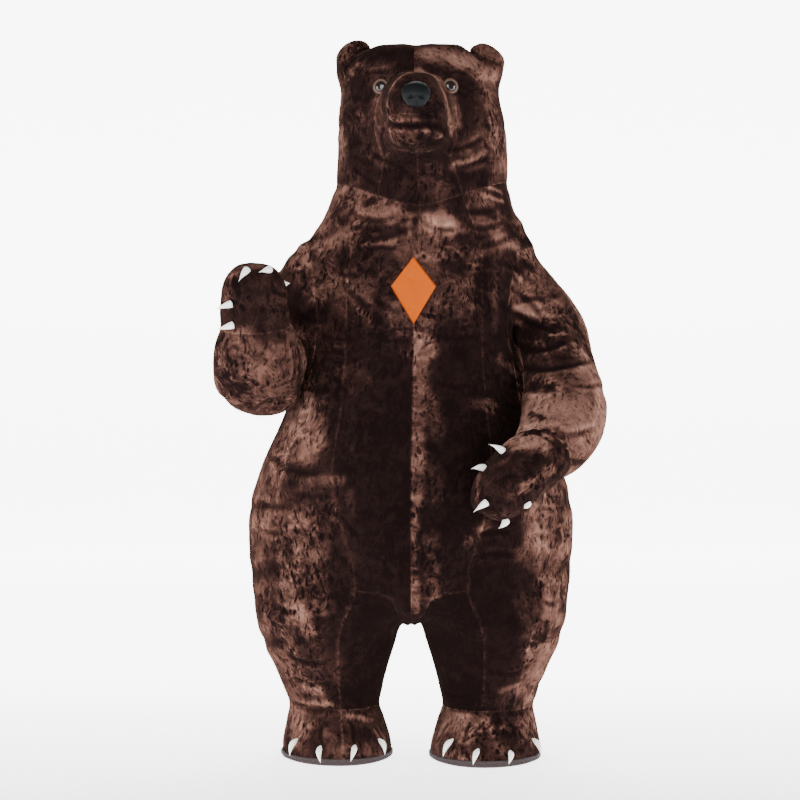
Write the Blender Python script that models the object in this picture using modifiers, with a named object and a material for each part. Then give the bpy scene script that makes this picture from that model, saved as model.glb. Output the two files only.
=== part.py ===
"""Bear mascot costume: a standing plush suit with head, mitts and feet, built panel by panel.

The wearer's left is +X and the front faces -Y. One skin is lofted from short tables of rings, each of its
faces is labelled with the panel it is cut in, and every panel is then given its own cloth wall.
"""
import math
from collections import namedtuple

import bmesh
import bpy
from mathutils import Vector
from mathutils.bvhtree import BVHTree

# Driving dimensions, in metres
WALL = 0.006            # plush: a 1 mm knitted backing under 5 mm of lying pile
SEAM_GAP = 0.0003       # between two panels at a seam
MITRE_LIMIT = 0.3        # keeps the gap from running out to a spike at a sharp corner
SEAT_GAP = 0.0003       # between a sewn-on piece and the panel under it
SEAM_DIP = 0.008        # how far a seam is drawn in between two filled-out panels
SOLE = 0.014            # thickness of a sole
SOLE_LIP = 0.004        # how far a sole stands out past the foot above it
BOX_SHIFT = Vector((0.0131, 0.1306, 0.0))  # puts the origin under the middle of the whole suit

# The skin's layout
AROUND = 16             # points round the trunk and head, numbered from the front centre towards the left
HALF = AROUND // 2
LIMB_AROUND = 10        # points round an arm or a leg
COLUMN_ANGLES = (0, None, None, None, 90, 122, 144, 162, 180)
SMOOTH_TRUNK = 1 / (0.75 + 0.25 * math.cos(math.tau / AROUND))     # makes up for what smoothing takes
SMOOTH_LIMB = 1 / (0.75 + 0.25 * math.cos(math.tau / LIMB_AROUND))

# Trunk and head, from the hips up. dip lowers a ring's front to a V that opens out at the angle dip_to;
# princess and side are the angles of the two seams that run down the front; turn is the ring's own turn,
# in degrees, and shift moves it sideways.
Ring = namedtuple("Ring", "z shift turn mid half front back dip dip_to princess side")
TRUNK = (
    Ring(0.640, -0.008, 0.0, 0.000, 0.600, 0.395, 0.395, 0.070, 13, 12, 54),
    Ring(0.760, -0.008, 0.0, 0.000, 0.612, 0.435, 0.420, 0.000, 90, 17, 55),
    Ring(0.900, -0.008, 0.0, 0.000, 0.612, 0.458, 0.425, 0.000, 90, 22, 56),
    Ring(1.040, -0.006, 0.0, 0.000, 0.574, 0.458, 0.415, 0.000, 90, 28, 57),
    Ring(1.180, -0.004, 0.0, 0.000, 0.508, 0.438, 0.390, 0.000, 90, 30, 57),
    Ring(1.300, 0.000, 0.0, 0.000, 0.456, 0.410, 0.364, 0.000, 90, 32, 57),
    Ring(1.405, 0.000, 0.0, 0.000, 0.438, 0.386, 0.350, 0.000, 90, 34, 57),
    Ring(1.590, 0.002, 0.0, 0.005, 0.410, 0.364, 0.348, 0.000, 90, 35, 57),
    Ring(1.730, 0.005, 0.0, 0.015, 0.412, 0.352, 0.354, 0.006, 90, 35, 57),
    Ring(1.860, 0.010, 0.0, 0.020, 0.420, 0.342, 0.350, 0.030, 70, 33, 58),
    Ring(1.965, 0.026, 0.0, 0.015, 0.358, 0.332, 0.322, 0.080, 67, 29, 60),
    Ring(2.090, 0.034, -2.0, 0.000, 0.324, 0.318, 0.290, 0.145, 67, 25, 60),
    Ring(2.190, 0.036, -4.0, 0.000, 0.317, 0.305, 0.286, 0.055, 67, 20, 58),
    Ring(2.265, 0.034, -4.5, 0.000, 0.316, 0.290, 0.292, 0.015, 67, 26, 60),
    Ring(2.350, 0.028, -4.5, 0.000, 0.308, 0.278, 0.300, 0.000, 90, 22, 58),
    Ring(2.440, 0.024, -4.5, 0.000, 0.288, 0.264, 0.298, 0.000, 90, 12, 58),
    Ring(2.520, 0.025, -4.5, 0.005, 0.268, 0.226, 0.266, 0.000, 90, 18, 64),
    Ring(2.576, 0.026, -4.5, 0.010, 0.230, 0.148, 0.178, 0.000, 90, 34, 66),
)
ARMHOLE_LOW = 6         # rows of TRUNK between which the armholes lie
ARMHOLE_HIGH = 9
NECK_SEAM = 11
MUZZLE_LOW = 12         # rows of TRUNK between which the muzzle grows
MOUTH = 13
MUZZLE_HIGH = 15
EAR_LOW = 15
EAR_HIGH = 17
CROWN_RISE = 0.012
CROWN_FALL = 0.3         # share of it lost at each step away from the middle

# Between the legs: the middle line from front to back, and half the width of the strip
HIP_SHIFT = -0.007      # the hips and legs stand a little to the wearer's right
CROTCH = ((-0.300, 0.500), (0.000, 0.470), (0.290, 0.530))
CROTCH_HALF = 0.022

# Legs and feet, from the hip down; x is the leg's middle line, and the left foot stands forward by stride
Leg = namedtuple("Leg", "z x mid half front back stride")
LEG_ANGLES = (-42, -12, 34, 76, 114, 148, 180, 218, 262, 294)
LEGS = (
    Leg(0.500, 0.303, 0.000, 0.270, 0.350, 0.352, 0.00),
    Leg(0.400, 0.298, 0.010, 0.240, 0.295, 0.305, 0.01),
    Leg(0.290, 0.290, 0.030, 0.192, 0.240, 0.232, 0.02),
    Leg(0.180, 0.280, 0.055, 0.168, 0.222, 0.180, 0.04),
    Leg(0.120, 0.277, 0.075, 0.186, 0.284, 0.190, 0.04),
    Leg(0.055, 0.274, 0.095, 0.203, 0.350, 0.200, 0.04),
    Leg(SOLE + SEAT_GAP, 0.273, 0.100, 0.204, 0.358, 0.200, 0.04),
)
ANKLE = 3               # row of LEGS where the leg is sewn to the foot

# Arms, from the shoulder to the tip of the mitt; x is measured outwards, over is half the size across the
# seam that runs on from the shoulder, and fore is half the size the other way
Arm = namedtuple("Arm", "x y z over fore")
ARM_LOWERED = (
    Arm(0.482, -0.005, 1.578, 0.146, 0.165),
    Arm(0.514, -0.055, 1.506, 0.116, 0.160),
    Arm(0.524, -0.125, 1.430, 0.118, 0.155),
    Arm(0.528, -0.200, 1.350, 0.140, 0.150),
    Arm(0.532, -0.278, 1.262, 0.158, 0.142),
    Arm(0.516, -0.360, 1.192, 0.166, 0.132),
    Arm(0.482, -0.425, 1.142, 0.158, 0.122),
    Arm(0.436, -0.488, 1.108, 0.142, 0.110),
    Arm(0.381, -0.524, 1.068, 0.152, 0.104),
    Arm(0.318, -0.540, 1.014, 0.158, 0.100),
    Arm(0.270, -0.550, 0.952, 0.136, 0.088),
    Arm(0.248, -0.556, 0.906, 0.084, 0.056),
)
ARM_RAISED = (
    Arm(0.482, -0.005, 1.578, 0.146, 0.165),
    Arm(0.532, -0.012, 1.507, 0.120, 0.155),
    Arm(0.560, -0.035, 1.432, 0.124, 0.140),
    Arm(0.554, -0.105, 1.368, 0.142, 0.124),
    Arm(0.550, -0.205, 1.343, 0.158, 0.118),
    Arm(0.543, -0.300, 1.386, 0.167, 0.130),
    Arm(0.538, -0.355, 1.475, 0.168, 0.136),
    Arm(0.550, -0.380, 1.560, 0.126, 0.112),
    Arm(0.551, -0.395, 1.612, 0.124, 0.100),
    Arm(0.551, -0.405, 1.672, 0.122, 0.092),
    Arm(0.550, -0.412, 1.730, 0.104, 0.076),
    Arm(0.549, -0.415, 1.765, 0.060, 0.046),
)
WRIST = 7               # row of an arm where the sleeve is sewn to the mitt
MITT_TIP = 0.012        # how far the end of a mitt stands out past its last ring

# Face
FACE_X = 0.008          # the head is turned a little, which brings the face back to the middle
Muzzle = namedtuple("Muzzle", "y z half_width half_height")
MUZZLE_BASE = Muzzle(-0.290, 2.290, 0.138, 0.150)
MUZZLE_STEPS = (Muzzle(-0.395, 2.288, 0.142, 0.146), Muzzle(-0.490, 2.302, 0.106, 0.104))
MUZZLE_BULGE = 0.020     # how far the rim of the muzzle lies behind its middle
EarRing = namedtuple("EarRing", "x half_width z tilt round depth")   # depth is the share of its depth that is left
EAR_MIDDLE = 0.026       # place across of the middle between the ears
EAR_RINGS = (EarRing(0.252, 0.072, 2.536, 0.030, 0.000, 0.80), EarRing(0.236, 0.056, 2.619, 0.006, 0.034, 0.62))
EYE_X = 0.123
EYE_Z = 2.400
EYE_AROUND, NOSE_AROUND = 12, 14
NOSE_AXIS = Vector((0, -1, 0.25))
SHEET_FACING, SHEET_REACH = 0.1, 0.9  # a sewn-on piece is taken from skin that faces it, no further than this
EYE_RADIUS = 0.027
EYE_DOME = 0.014
NOSE_Z = 2.348
NOSE_HALF = (0.051, 0.053)
NOSE_DOME = 0.024
EDGE_RISE = 0.004       # how thick a domed piece is at its rim

# Chest diamond and the cover of the zip down the centre back
PATCH_Z = 1.693
PATCH_HALF = 0.079
PATCH_UP = 0.104
PATCH_DOWN = 0.134
PATCH_THICK = 0.003
ZIP_HALF = 0.024
ZIP_LOW = 0.800
ZIP_HIGH = 1.880
ZIP_THICK = 0.004

# Claws: each stands on the plush nearest to foot, and reach goes from there to its tip
Claw = namedtuple("Claw", "foot reach")
HAND_CLAW, TOE_CLAW = 0.019, 0.0155   # radius of a claw's foot
CLAW_RINGS, CLAW_AROUND = 4, 7
CLAW_TAPER, CLAW_TIP = 1.45, 0.0012   # how full the claw stays on its way to the tip, and the tip's radius
CLAW_LEAVE = 0.5         # share of its length that a claw goes straight out before it turns to its tip
CLAW_SEAT_SHARES = (0.5, 1.0, 1.15)   # circles round the claw's foot, as shares of its radius, that must clear the plush
CLAW_SEAT_AROUND = 12
CLAWS = {
    "claw_hand_l": (
        Claw((0.290, -0.565, 1.116), (-0.041, -0.022, 0.033)),
        Claw((0.232, -0.560, 1.052), (-0.043, -0.022, 0.012)),
        Claw((0.238, -0.625, 0.942), (-0.040, -0.022, -0.022)),
        Claw((0.298, -0.605, 0.898), (-0.016, -0.022, -0.030)),
        Claw((0.380, -0.637, 0.946), (-0.015, -0.038, -0.012)),
    ),
    "claw_hand_r": (
        Claw((-0.573, -0.476, 1.732), (-0.026, -0.040, -0.034)),
        Claw((-0.499, -0.468, 1.740), (-0.031, -0.042, -0.008)),
        Claw((-0.440, -0.355, 1.700), (0.030, 0.026, 0.010)),
        Claw((-0.637, -0.456, 1.617), (-0.045, -0.022, -0.012)),
        Claw((-0.634, -0.449, 1.551), (-0.046, -0.022, -0.015)),
    ),
    "claw_foot_l": (
        Claw((0.141, -0.188, 0.070), (-0.036, -0.026, -0.040)),
        Claw((0.227, -0.248, 0.047), (-0.018, -0.034, -0.034)),
        Claw((0.335, -0.228, 0.042), (0.000, -0.034, -0.030)),
        Claw((0.421, -0.122, 0.060), (0.036, -0.026, -0.038)),
    ),
    "claw_foot_r": (
        Claw((-0.409, -0.122, 0.061), (-0.032, -0.026, -0.038)),
        Claw((-0.323, -0.203, 0.053), (-0.004, -0.034, -0.041)),
        Claw((-0.210, -0.196, 0.058), (-0.012, -0.034, -0.042)),
        Claw((-0.128, -0.109, 0.063), (0.026, -0.026, -0.038)),
    ),
}

# The largest folds: a trough from one place to another, how deep it is and how far it spreads
Fold = namedtuple("Fold", "start end depth spread")
FOLDS = (
    Fold((0.30, -0.33, 1.46), (0.12, -0.40, 1.36), 0.012, 0.050),
    Fold((-0.30, -0.33, 1.46), (-0.14, -0.40, 1.33), 0.014, 0.050),
    Fold((-0.46, -0.30, 0.86), (-0.20, -0.44, 0.76), 0.014, 0.055),
    Fold((0.46, -0.30, 0.84), (0.22, -0.44, 0.74), 0.012, 0.055),
    Fold((-0.52, -0.20, 0.46), (-0.22, -0.34, 0.42), 0.014, 0.050),
    Fold((0.52, -0.20, 0.44), (0.24, -0.34, 0.38), 0.014, 0.050),
    Fold((0.34, 0.25, 1.34), (0.05, 0.36, 1.22), 0.014, 0.060),
    Fold((-0.34, 0.25, 1.30), (-0.08, 0.36, 1.20), 0.012, 0.060),
    Fold((0.46, 0.30, 0.80), (0.14, 0.41, 0.68), 0.014, 0.055),
    Fold((-0.46, 0.30, 0.84), (-0.16, 0.41, 0.70), 0.014, 0.055),
    Fold((0.20, 0.26, 2.08), (-0.16, 0.28, 2.05), 0.012, 0.050),
)

BROWN = (0.050, 0.024, 0.018, 1)
Look = namedtuple("Look", "colour roughness")
LOOKS = {
    "plush": Look(BROWN, 0.85),
    "orange_plush": Look((0.58, 0.20, 0.075, 1), 0.85),
    "claw_vinyl": Look((0.80, 0.79, 0.74, 1), 0.35),
    "sole_foam": Look((0.10, 0.09, 0.115, 1), 0.70),
    "nose_vinyl": Look((0.020, 0.024, 0.028, 1), 0.30),
    "eye_gloss": Look((0.20, 0.11, 0.05, 1), 0.12),
}

PANELS = (
    "front_l", "front_r", "flank_l", "flank_r", "side_l", "side_r", "back_l", "back_r",
    "inner_leg_l", "inner_leg_r", "sleeve_front_l", "sleeve_front_r", "sleeve_back_l", "sleeve_back_r",
    "mitt_front_l", "mitt_front_r", "mitt_back_l", "mitt_back_r",
    "foot_outer_l", "foot_outer_r", "foot_inner_l", "foot_inner_r",
    "head_l", "head_r", "throat_l", "throat_r", "muzzle", "jaw",
    "ear_front_l", "ear_front_r", "ear_back_l", "ear_back_r",
)


def start_collections():
    """Empty the scene and return the collection of the costume's pieces."""
    for old in list(bpy.data.objects):
        bpy.data.objects.remove(old, do_unlink=True)
    costume = bpy.data.collections.new("bear_mascot_costume")
    bpy.context.scene.collection.children.link(costume)
    return costume


def make_material(name):
    """One plain material for a kind of surface."""
    look = LOOKS[name]
    material = bpy.data.materials.new(name)
    material.use_nodes = True
    shader = material.node_tree.nodes["Principled BSDF"]
    shader.inputs["Base Color"].default_value = look.colour
    shader.inputs["Roughness"].default_value = look.roughness
    shader.inputs["Metallic"].default_value = 0.0
    return material


def add_piece(name, mesh, material):
    """Link a finished mesh to the scene as the costume's piece of that name."""
    mesh.materials.clear()
    mesh.materials.append(material)
    mesh.shade_smooth()
    mesh.set_sharp_from_angle(angle=math.radians(50))
    piece = bpy.data.objects.new(name, mesh)
    piece.location = BOX_SHIFT
    bpy.data.collections["bear_mascot_costume"].objects.link(piece)
    return piece


def column(side, number):
    """Place round a trunk ring of the column with that number on the left (+1) or right (-1)."""
    return number if side > 0 else (AROUND - number) % AROUND


def side_letter(side):
    return "l" if side > 0 else "r"


def trunk_point(ring, place):
    """One point of a trunk or head ring."""
    side = 1 if place <= HALF else -1
    number = place if place <= HALF else AROUND - place
    angles = list(COLUMN_ANGLES)
    angles[1] = ring.princess / 2
    angles[2] = ring.princess
    angles[3] = ring.side
    angle = math.radians(side * angles[number] + ring.turn)
    depth = ring.front if math.cos(angle) > 0 else ring.back
    low = ring.dip * max(0.0, 1 - angles[number] / ring.dip_to)
    return Vector((
        ring.shift + ring.half * SMOOTH_TRUNK * math.sin(angle),
        ring.mid - depth * SMOOTH_TRUNK * math.cos(angle),
        ring.z - low,
    ))


def trunk_panel(row, number):
    """Panel that the face above a row and after a column belongs to, without its side letter."""
    if row >= NECK_SEAM:
        if number < 2 and row < MUZZLE_LOW:
            return "throat"
        if number < 2 and row < MUZZLE_HIGH:
            return "jaw" if row < MOUTH else "muzzle"
        if EAR_LOW <= row < EAR_HIGH and number in (3, 4):
            return "ear_front" if number == 3 else "ear_back"
        return "head"
    if number < 2:
        return "front"
    if number == 2:
        return "flank"
    if number in (3, 4) and row < ARMHOLE_LOW:
        return "side"
    return "flank" if number == 3 else "back"


def add_face(bm, corners, panel):
    """A face of the skin, labelled with its panel; the label is kept as the material's number."""
    face = bm.faces.new(corners)
    face.material_index = PANELS.index(panel)
    return face


def add_trunk(bm):
    """The trunk and head as rings of points, with the armholes left open."""
    rows = [[bm.verts.new(trunk_point(ring, place)) for place in range(AROUND)] for ring in TRUNK]
    for row in range(len(TRUNK) - 1):
        for side in (1, -1):
            for number in range(HALF):
                if ARMHOLE_LOW <= row < ARMHOLE_HIGH and number in (3, 4):
                    continue
                here, after = column(side, number), column(side, number + 1)
                panel = trunk_panel(row, number)
                if panel not in PANELS:
                    panel = panel + "_" + side_letter(side)
                add_face(bm, (rows[row][here], rows[row][after], rows[row + 1][after], rows[row + 1][here]), panel)
    return rows


def add_crown(bm, ring):
    """Close the top of the head with a 4 by 4 grid of faces inside the last ring."""
    edge = {}
    for step in range(5):
        edge[(step, 0)] = ring[(14 + step) % AROUND]
        edge[(4, step)] = ring[2 + step]
        edge[(4 - step, 4)] = ring[6 + step]
        edge[(0, 4 - step)] = ring[(10 + step) % AROUND]
    grid = dict(edge)
    for across in range(1, 4):
        for back in range(1, 4):
            u, v = across / 4, back / 4
            sides = edge[(0, back)].co.lerp(edge[(4, back)].co, u)
            ends = edge[(across, 0)].co.lerp(edge[(across, 4)].co, v)
            rise = CROWN_RISE * (1 - abs(across - 2) * CROWN_FALL) * (1 - abs(back - 2) * CROWN_FALL)
            grid[(across, back)] = bm.verts.new((sides + ends) / 2 + Vector((0, 0, rise)))
    for across in range(4):
        for back in range(4):
            corners = [grid[(across + a, back + b)] for a, b in ((0, 0), (1, 0), (1, 1), (0, 1))]
            add_face(bm, corners, "head_l" if across >= 2 else "head_r")


def add_crotch(bm, hips):
    """The strip between the legs; returns its edge points on each side, from front to back."""
    middle = [hips[0]] + [bm.verts.new((HIP_SHIFT, y, z)) for y, z in CROTCH] + [hips[HALF]]
    edges = {}
    for side in (1, -1):
        inner = [bm.verts.new((HIP_SHIFT + side * CROTCH_HALF, y, z)) for y, z in CROTCH]
        edges[side] = inner
        line = [hips[column(side, 1)]] + inner + [hips[column(side, HALF - 1)]]
        for step in range(len(middle) - 1):
            panel = "front_" if step == 0 else "inner_leg_"
            corners = (middle[step], line[step], line[step + 1], middle[step + 1])
            add_face(bm, corners, panel + side_letter(side))
    return edges


def leg_panel(row, number):
    """Panel of a leg or foot face, without its side letter."""
    if row >= ANKLE:
        return "foot_outer" if 1 <= number <= 5 else "foot_inner"
    return ("inner_leg", "flank", "side", "side", "back", "back")[number] if number < 6 else "inner_leg"


def add_leg(bm, hips, crotch, side):
    """One leg with its foot, open under the foot; returns the points of the open edge."""
    loop = [hips[column(side, number)] for number in range(1, HALF)] + crotch[::-1]
    for row, leg in enumerate(LEGS):
        ring = []
        for angle in LEG_ANGLES:
            turn = math.radians(angle)
            depth = leg.front if math.cos(turn) > 0 else leg.back
            x = HIP_SHIFT + side * (leg.x + leg.half * SMOOTH_LIMB * math.sin(turn))
            y = leg.mid - side * leg.stride / 2 - depth * SMOOTH_LIMB * math.cos(turn)
            ring.append(bm.verts.new((x, y, leg.z)))
        for number in range(LIMB_AROUND):
            after = (number + 1) % LIMB_AROUND
            panel = leg_panel(row - 1, number) + "_" + side_letter(side)
            add_face(bm, (loop[number], loop[after], ring[after], ring[number]), panel)
        loop = ring
    return loop


def armhole(rows, side):
    """The points round an armhole, from its top towards the front."""
    top, low = rows[ARMHOLE_HIGH], rows[ARMHOLE_LOW]
    front, middle, back = (column(side, number) for number in (3, 4, 5))
    between = range(ARMHOLE_LOW + 1, ARMHOLE_HIGH)
    down = [rows[row][front] for row in reversed(between)]
    up = [rows[row][back] for row in between]
    return [top[middle], top[front]] + down + [low[front], low[middle], low[back]] + up + [top[back]]


def add_arm(bm, loop, arms, side):
    """One sleeve and mitt along its table of places; the frame turns with the arm and never twists."""
    places = [Vector((side * arm.x, arm.y, arm.z)) for arm in arms]
    over, fore = Vector((0, 0, 1)), Vector((0, -1, 0))
    along = Vector((side, 0, 0))
    for row, arm in enumerate(arms):
        before = places[max(row - 1, 0)]
        ahead = places[min(row + 1, len(arms) - 1)]
        heading = (ahead - before).normalized()
        turn = along.rotation_difference(heading).to_matrix()
        over, fore, along = turn @ over, turn @ fore, heading
        ring = []
        for step in range(LIMB_AROUND):
            angle = math.tau * step / LIMB_AROUND
            reach = over * (arm.over * math.cos(angle)) + fore * (arm.fore * math.sin(angle))
            ring.append(bm.verts.new(places[row] + reach * SMOOTH_LIMB))
        for step in range(LIMB_AROUND):
            after = (step + 1) % LIMB_AROUND
            part = "mitt" if row > WRIST else "sleeve"
            half = "front" if step < LIMB_AROUND // 2 else "back"
            panel = f"{part}_{half}_{side_letter(side)}"
            add_face(bm, (loop[step], loop[after], ring[after], ring[step]), panel)
        loop = ring
    middle = [loop[0]]
    half = LIMB_AROUND // 2
    steps = half - 2
    for step in range(1, steps):
        middle.append(bm.verts.new(loop[0].co.lerp(loop[half].co, step / steps) + along * MITT_TIP))
    middle.append(loop[half])
    last = LIMB_AROUND - 1
    for step in range(steps):
        front = (middle[step], loop[step + 1], loop[step + 2], middle[step + 1])
        back = (middle[step], middle[step + 1], loop[last - 1 - step], loop[last - step])
        add_face(bm, front, "mitt_front_" + side_letter(side))
        add_face(bm, back, "mitt_back_" + side_letter(side))


def faces_of(bm, *panels):
    numbers = [PANELS.index(panel) for panel in panels]
    return [face for face in bm.faces if face.material_index in numbers]


def grow(bm, faces, place):
    """Extrude a patch of faces and put each of its points where place says."""
    grown = bmesh.ops.extrude_face_region(bm, geom=faces)["geom"]
    for vert in grown:
        if isinstance(vert, bmesh.types.BMVert):
            vert.co = place(vert.co)
    bmesh.ops.delete(bm, geom=faces, context="FACES")
    return [face for face in grown if isinstance(face, bmesh.types.BMFace)]


def add_muzzle(bm):
    """The muzzle and jaw grow forward from the face in two steps."""
    faces = faces_of(bm, "muzzle", "jaw")
    base = MUZZLE_BASE
    for step in MUZZLE_STEPS:
        def place(co, base=base, step=step):
            across = (co.x - FACE_X) / base.half_width
            up = (co.z - base.z) / base.half_height
            y = step.y + MUZZLE_BULGE * (across * across + up * up)
            return Vector((FACE_X + across * step.half_width, y, step.z + up * step.half_height))
        faces = grow(bm, faces, place)
        base = step


def add_ears(bm):
    """Each ear grows up from the corner of the head as a round flap that gets thinner from front to back."""
    for side in (1, -1):
        letter = side_letter(side)
        faces = faces_of(bm, "ear_front_" + letter, "ear_back_" + letter)
        points = {vert for face in faces for vert in face.verts}
        low = min(vert.co.z for vert in points)
        high = max(vert.co.z for vert in points)
        middle = sum(vert.co.y for vert in points) / len(points)
        base_low, base_high, kept = low, high, 1.0
        for ring in EAR_RINGS:
            def place(co, ring=ring, low=base_low, high=base_high, thin=ring.depth / kept):
                inward = 2 * (co.z - low) / (high - low) - 1
                return Vector((
                    EAR_MIDDLE + side * (ring.x - ring.half_width * inward),
                    middle + (co.y - middle) * thin,
                    ring.z + ring.tilt * inward - ring.round * inward * inward,
                ))
            faces = grow(bm, faces, place)
            base_low = min(vert.co.z for face in faces for vert in face.verts)
            base_high = max(vert.co.z for face in faces for vert in face.verts)
            kept = ring.depth


def make_skin():
    """The whole skin: a coarse cage, smoothed once, with seams drawn in and the largest folds pressed in."""
    bm = bmesh.new()
    rows = add_trunk(bm)
    add_crown(bm, rows[-1])
    crotch = add_crotch(bm, rows[0])
    for side, arms in ((1, ARM_LOWERED), (-1, ARM_RAISED)):
        add_leg(bm, rows[0], crotch[side], side)
        add_arm(bm, armhole(rows, side), arms, side)
    add_muzzle(bm)
    add_ears(bm)
    bmesh.ops.recalc_face_normals(bm, faces=bm.faces[:])
    cage = bpy.data.meshes.new("cage")
    bm.to_mesh(cage)
    bm.free()
    guide = bpy.data.objects.new("cage", cage)
    bpy.context.scene.collection.objects.link(guide)
    smooth = guide.modifiers.new("smooth", "SUBSURF")
    smooth.levels = 1
    smooth.render_levels = 1
    graph = bpy.context.evaluated_depsgraph_get()
    mesh = bpy.data.meshes.new_from_object(guide.evaluated_get(graph))
    bpy.data.objects.remove(guide)
    bm = bmesh.new()
    bm.from_mesh(mesh)
    bpy.data.meshes.remove(mesh)
    shape_skin(bm)
    bmesh.ops.triangulate(bm, faces=bm.faces[:], quad_method="SHORT_EDGE")
    bm.normal_update()
    bm.verts.index_update()
    return bm


def drawn_seam_verts(bm):
    """Points where two panels meet, but for the thin rims of the ears, which aren't drawn in."""
    found = set()
    for edge in bm.edges:
        numbers = {face.material_index for face in edge.link_faces}
        if len(numbers) > 1 and not all(PANELS[number].startswith("ear") for number in numbers):
            found.update(edge.verts)
    return found


def shape_skin(bm):
    """Draw the seams in and press the folds in, both along the skin's own directions."""
    bm.normal_update()
    moves = {vert: 0.0 for vert in bm.verts}
    for vert in drawn_seam_verts(bm):
        moves[vert] += SEAM_DIP
    for fold in FOLDS:
        start, end = Vector(fold.start), Vector(fold.end)
        span = end - start
        for vert in bm.verts:
            share = min(1.0, max(0.0, (vert.co - start).dot(span) / span.length_squared))
            away = (vert.co - start - span * share).length / fold.spread
            moves[vert] += fold.depth * math.exp(-away * away)
    directions = {vert: vert.normal.copy() for vert in bm.verts}
    for vert, depth in moves.items():
        if not vert.is_boundary:
            vert.co -= directions[vert] * depth


def seam_offsets(bm, number):
    """How far each edge point of a panel moves into the panel to leave half the seam's gap."""
    ways = {}
    for edge in bm.edges:
        inside = [face for face in edge.link_faces if face.material_index == number]
        if len(inside) != 1 or len(edge.link_faces) < 2:
            continue
        for vert in edge.verts:
            along = (edge.other_vert(vert).co - vert.co).normalized()
            way = vert.normal.cross(along).normalized()
            if way.dot(inside[0].calc_center_median() - vert.co) < 0:
                way.negate()
            ways.setdefault(vert, []).append(way)
    offsets = {}
    for vert, pair in ways.items():
        middle = sum(pair, Vector()).normalized()
        offsets[vert] = middle * (SEAM_GAP / 2 / max(MITRE_LIMIT, middle.dot(pair[0])))
    return offsets


def make_panel(bm, name, material):
    """One panel as a closed wall of cloth; rims of neighbours are parallel because they share directions."""
    number = PANELS.index(name)
    faces = [face for face in bm.faces if face.material_index == number]
    offsets = seam_offsets(bm, number)
    verts = sorted({vert for face in faces for vert in face.verts}, key=lambda vert: vert.index)
    place = {vert: index for index, vert in enumerate(verts)}
    points, inner = [], len(verts)
    for depth in (0.0, WALL):
        for vert in verts:
            way = vert.normal.copy()
            if vert.is_boundary:
                way.z = 0
                way.normalize()
            points.append(vert.co + offsets.get(vert, Vector()) - way * depth)
    walls = []
    for face in faces:
        outer = [place[vert] for vert in face.verts]
        walls.append(outer)
        walls.append([index + inner for index in reversed(outer)])
        for loop in face.loops:
            if len([near for near in loop.edge.link_faces if near.material_index == number]) == 1:
                a, b = place[loop.vert], place[loop.link_loop_next.vert]
                if a < b:
                    walls += [(b, a, b + inner), (a, a + inner, b + inner)]
                else:
                    walls += [(b, a, a + inner), (b, a + inner, b + inner)]
    mesh = bpy.data.meshes.new(name)
    mesh.from_pydata(points, [], walls)
    return add_piece(name, mesh, material)


def prism_sheet(bm, centre, axis, outline, cuts):
    """The part of the skin inside a prism, whose outline is a convex ring of points round the axis."""
    sheet = bm.copy()
    axis = axis.normalized()
    across = Vector((0, 0, 1)).cross(axis).normalized()
    up = axis.cross(across)
    far = [face for face in sheet.faces if face.normal.dot(axis) < SHEET_FACING
           or (face.calc_center_median() - centre).length > SHEET_REACH]
    bmesh.ops.delete(sheet, geom=far, context="FACES")
    corners = [centre + across * u + up * v for u, v in outline]
    middle = sum(corners, Vector()) / len(corners)
    for place, corner in enumerate(corners):
        edge = corners[(place + 1) % len(corners)] - corner
        outward = edge.cross(axis)
        if outward.dot(middle - corner) > 0:
            outward.negate()
        geom = sheet.verts[:] + sheet.edges[:] + sheet.faces[:]
        bmesh.ops.bisect_plane(sheet, geom=geom, plane_co=corner, plane_no=outward, clear_outer=True)
    bmesh.ops.remove_doubles(sheet, verts=sheet.verts[:], dist=0.00002)
    bmesh.ops.triangulate(sheet, faces=sheet.faces[:])
    if cuts:
        bmesh.ops.subdivide_edges(sheet, edges=sheet.edges[:], cuts=cuts, use_grid_fill=True)
        bmesh.ops.triangulate(sheet, faces=sheet.faces[:])
    sheet.normal_update()
    return sheet


def raise_piece(name, sheet, rise, material):
    """A sewn-on piece: a stretch of the skin moved out by the seat's gap and given a thickness."""
    verts = list(sheet.verts)
    sheet.verts.index_update()
    count = len(verts)
    low = [vert.co + vert.normal * SEAT_GAP for vert in verts]
    high = [vert.co + vert.normal * (SEAT_GAP + rise(vert.co)) for vert in verts]
    walls = []
    for face in sheet.faces:
        corners = [vert.index for vert in face.verts]
        walls.append(tuple(index + count for index in corners))
        walls.append(tuple(reversed(corners)))
        for loop in face.loops:
            if loop.edge.is_boundary:
                a, b = loop.vert.index, loop.link_loop_next.vert.index
                walls.append((a, b, b + count, a + count))
    mesh = bpy.data.meshes.new(name)
    mesh.from_pydata(low + high, [], walls)
    sheet.free()
    return add_piece(name, mesh, material)


def dome(centre, axis, radius, height):
    """Rise of a domed piece: its edge, and a rounded top that falls off with the distance from its axis."""
    def rise(co):
        from_centre = co - centre
        from_centre -= axis * from_centre.dot(axis)
        share = min(1.0, from_centre.length / radius)
        return EDGE_RISE + height * math.sqrt(1 - 0.98 * share * share)
    return rise


def ellipse(half_width, half_height, count):
    return [(half_width * math.cos(math.tau * k / count), half_height * math.sin(math.tau * k / count))
            for k in range(count)]


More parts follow.
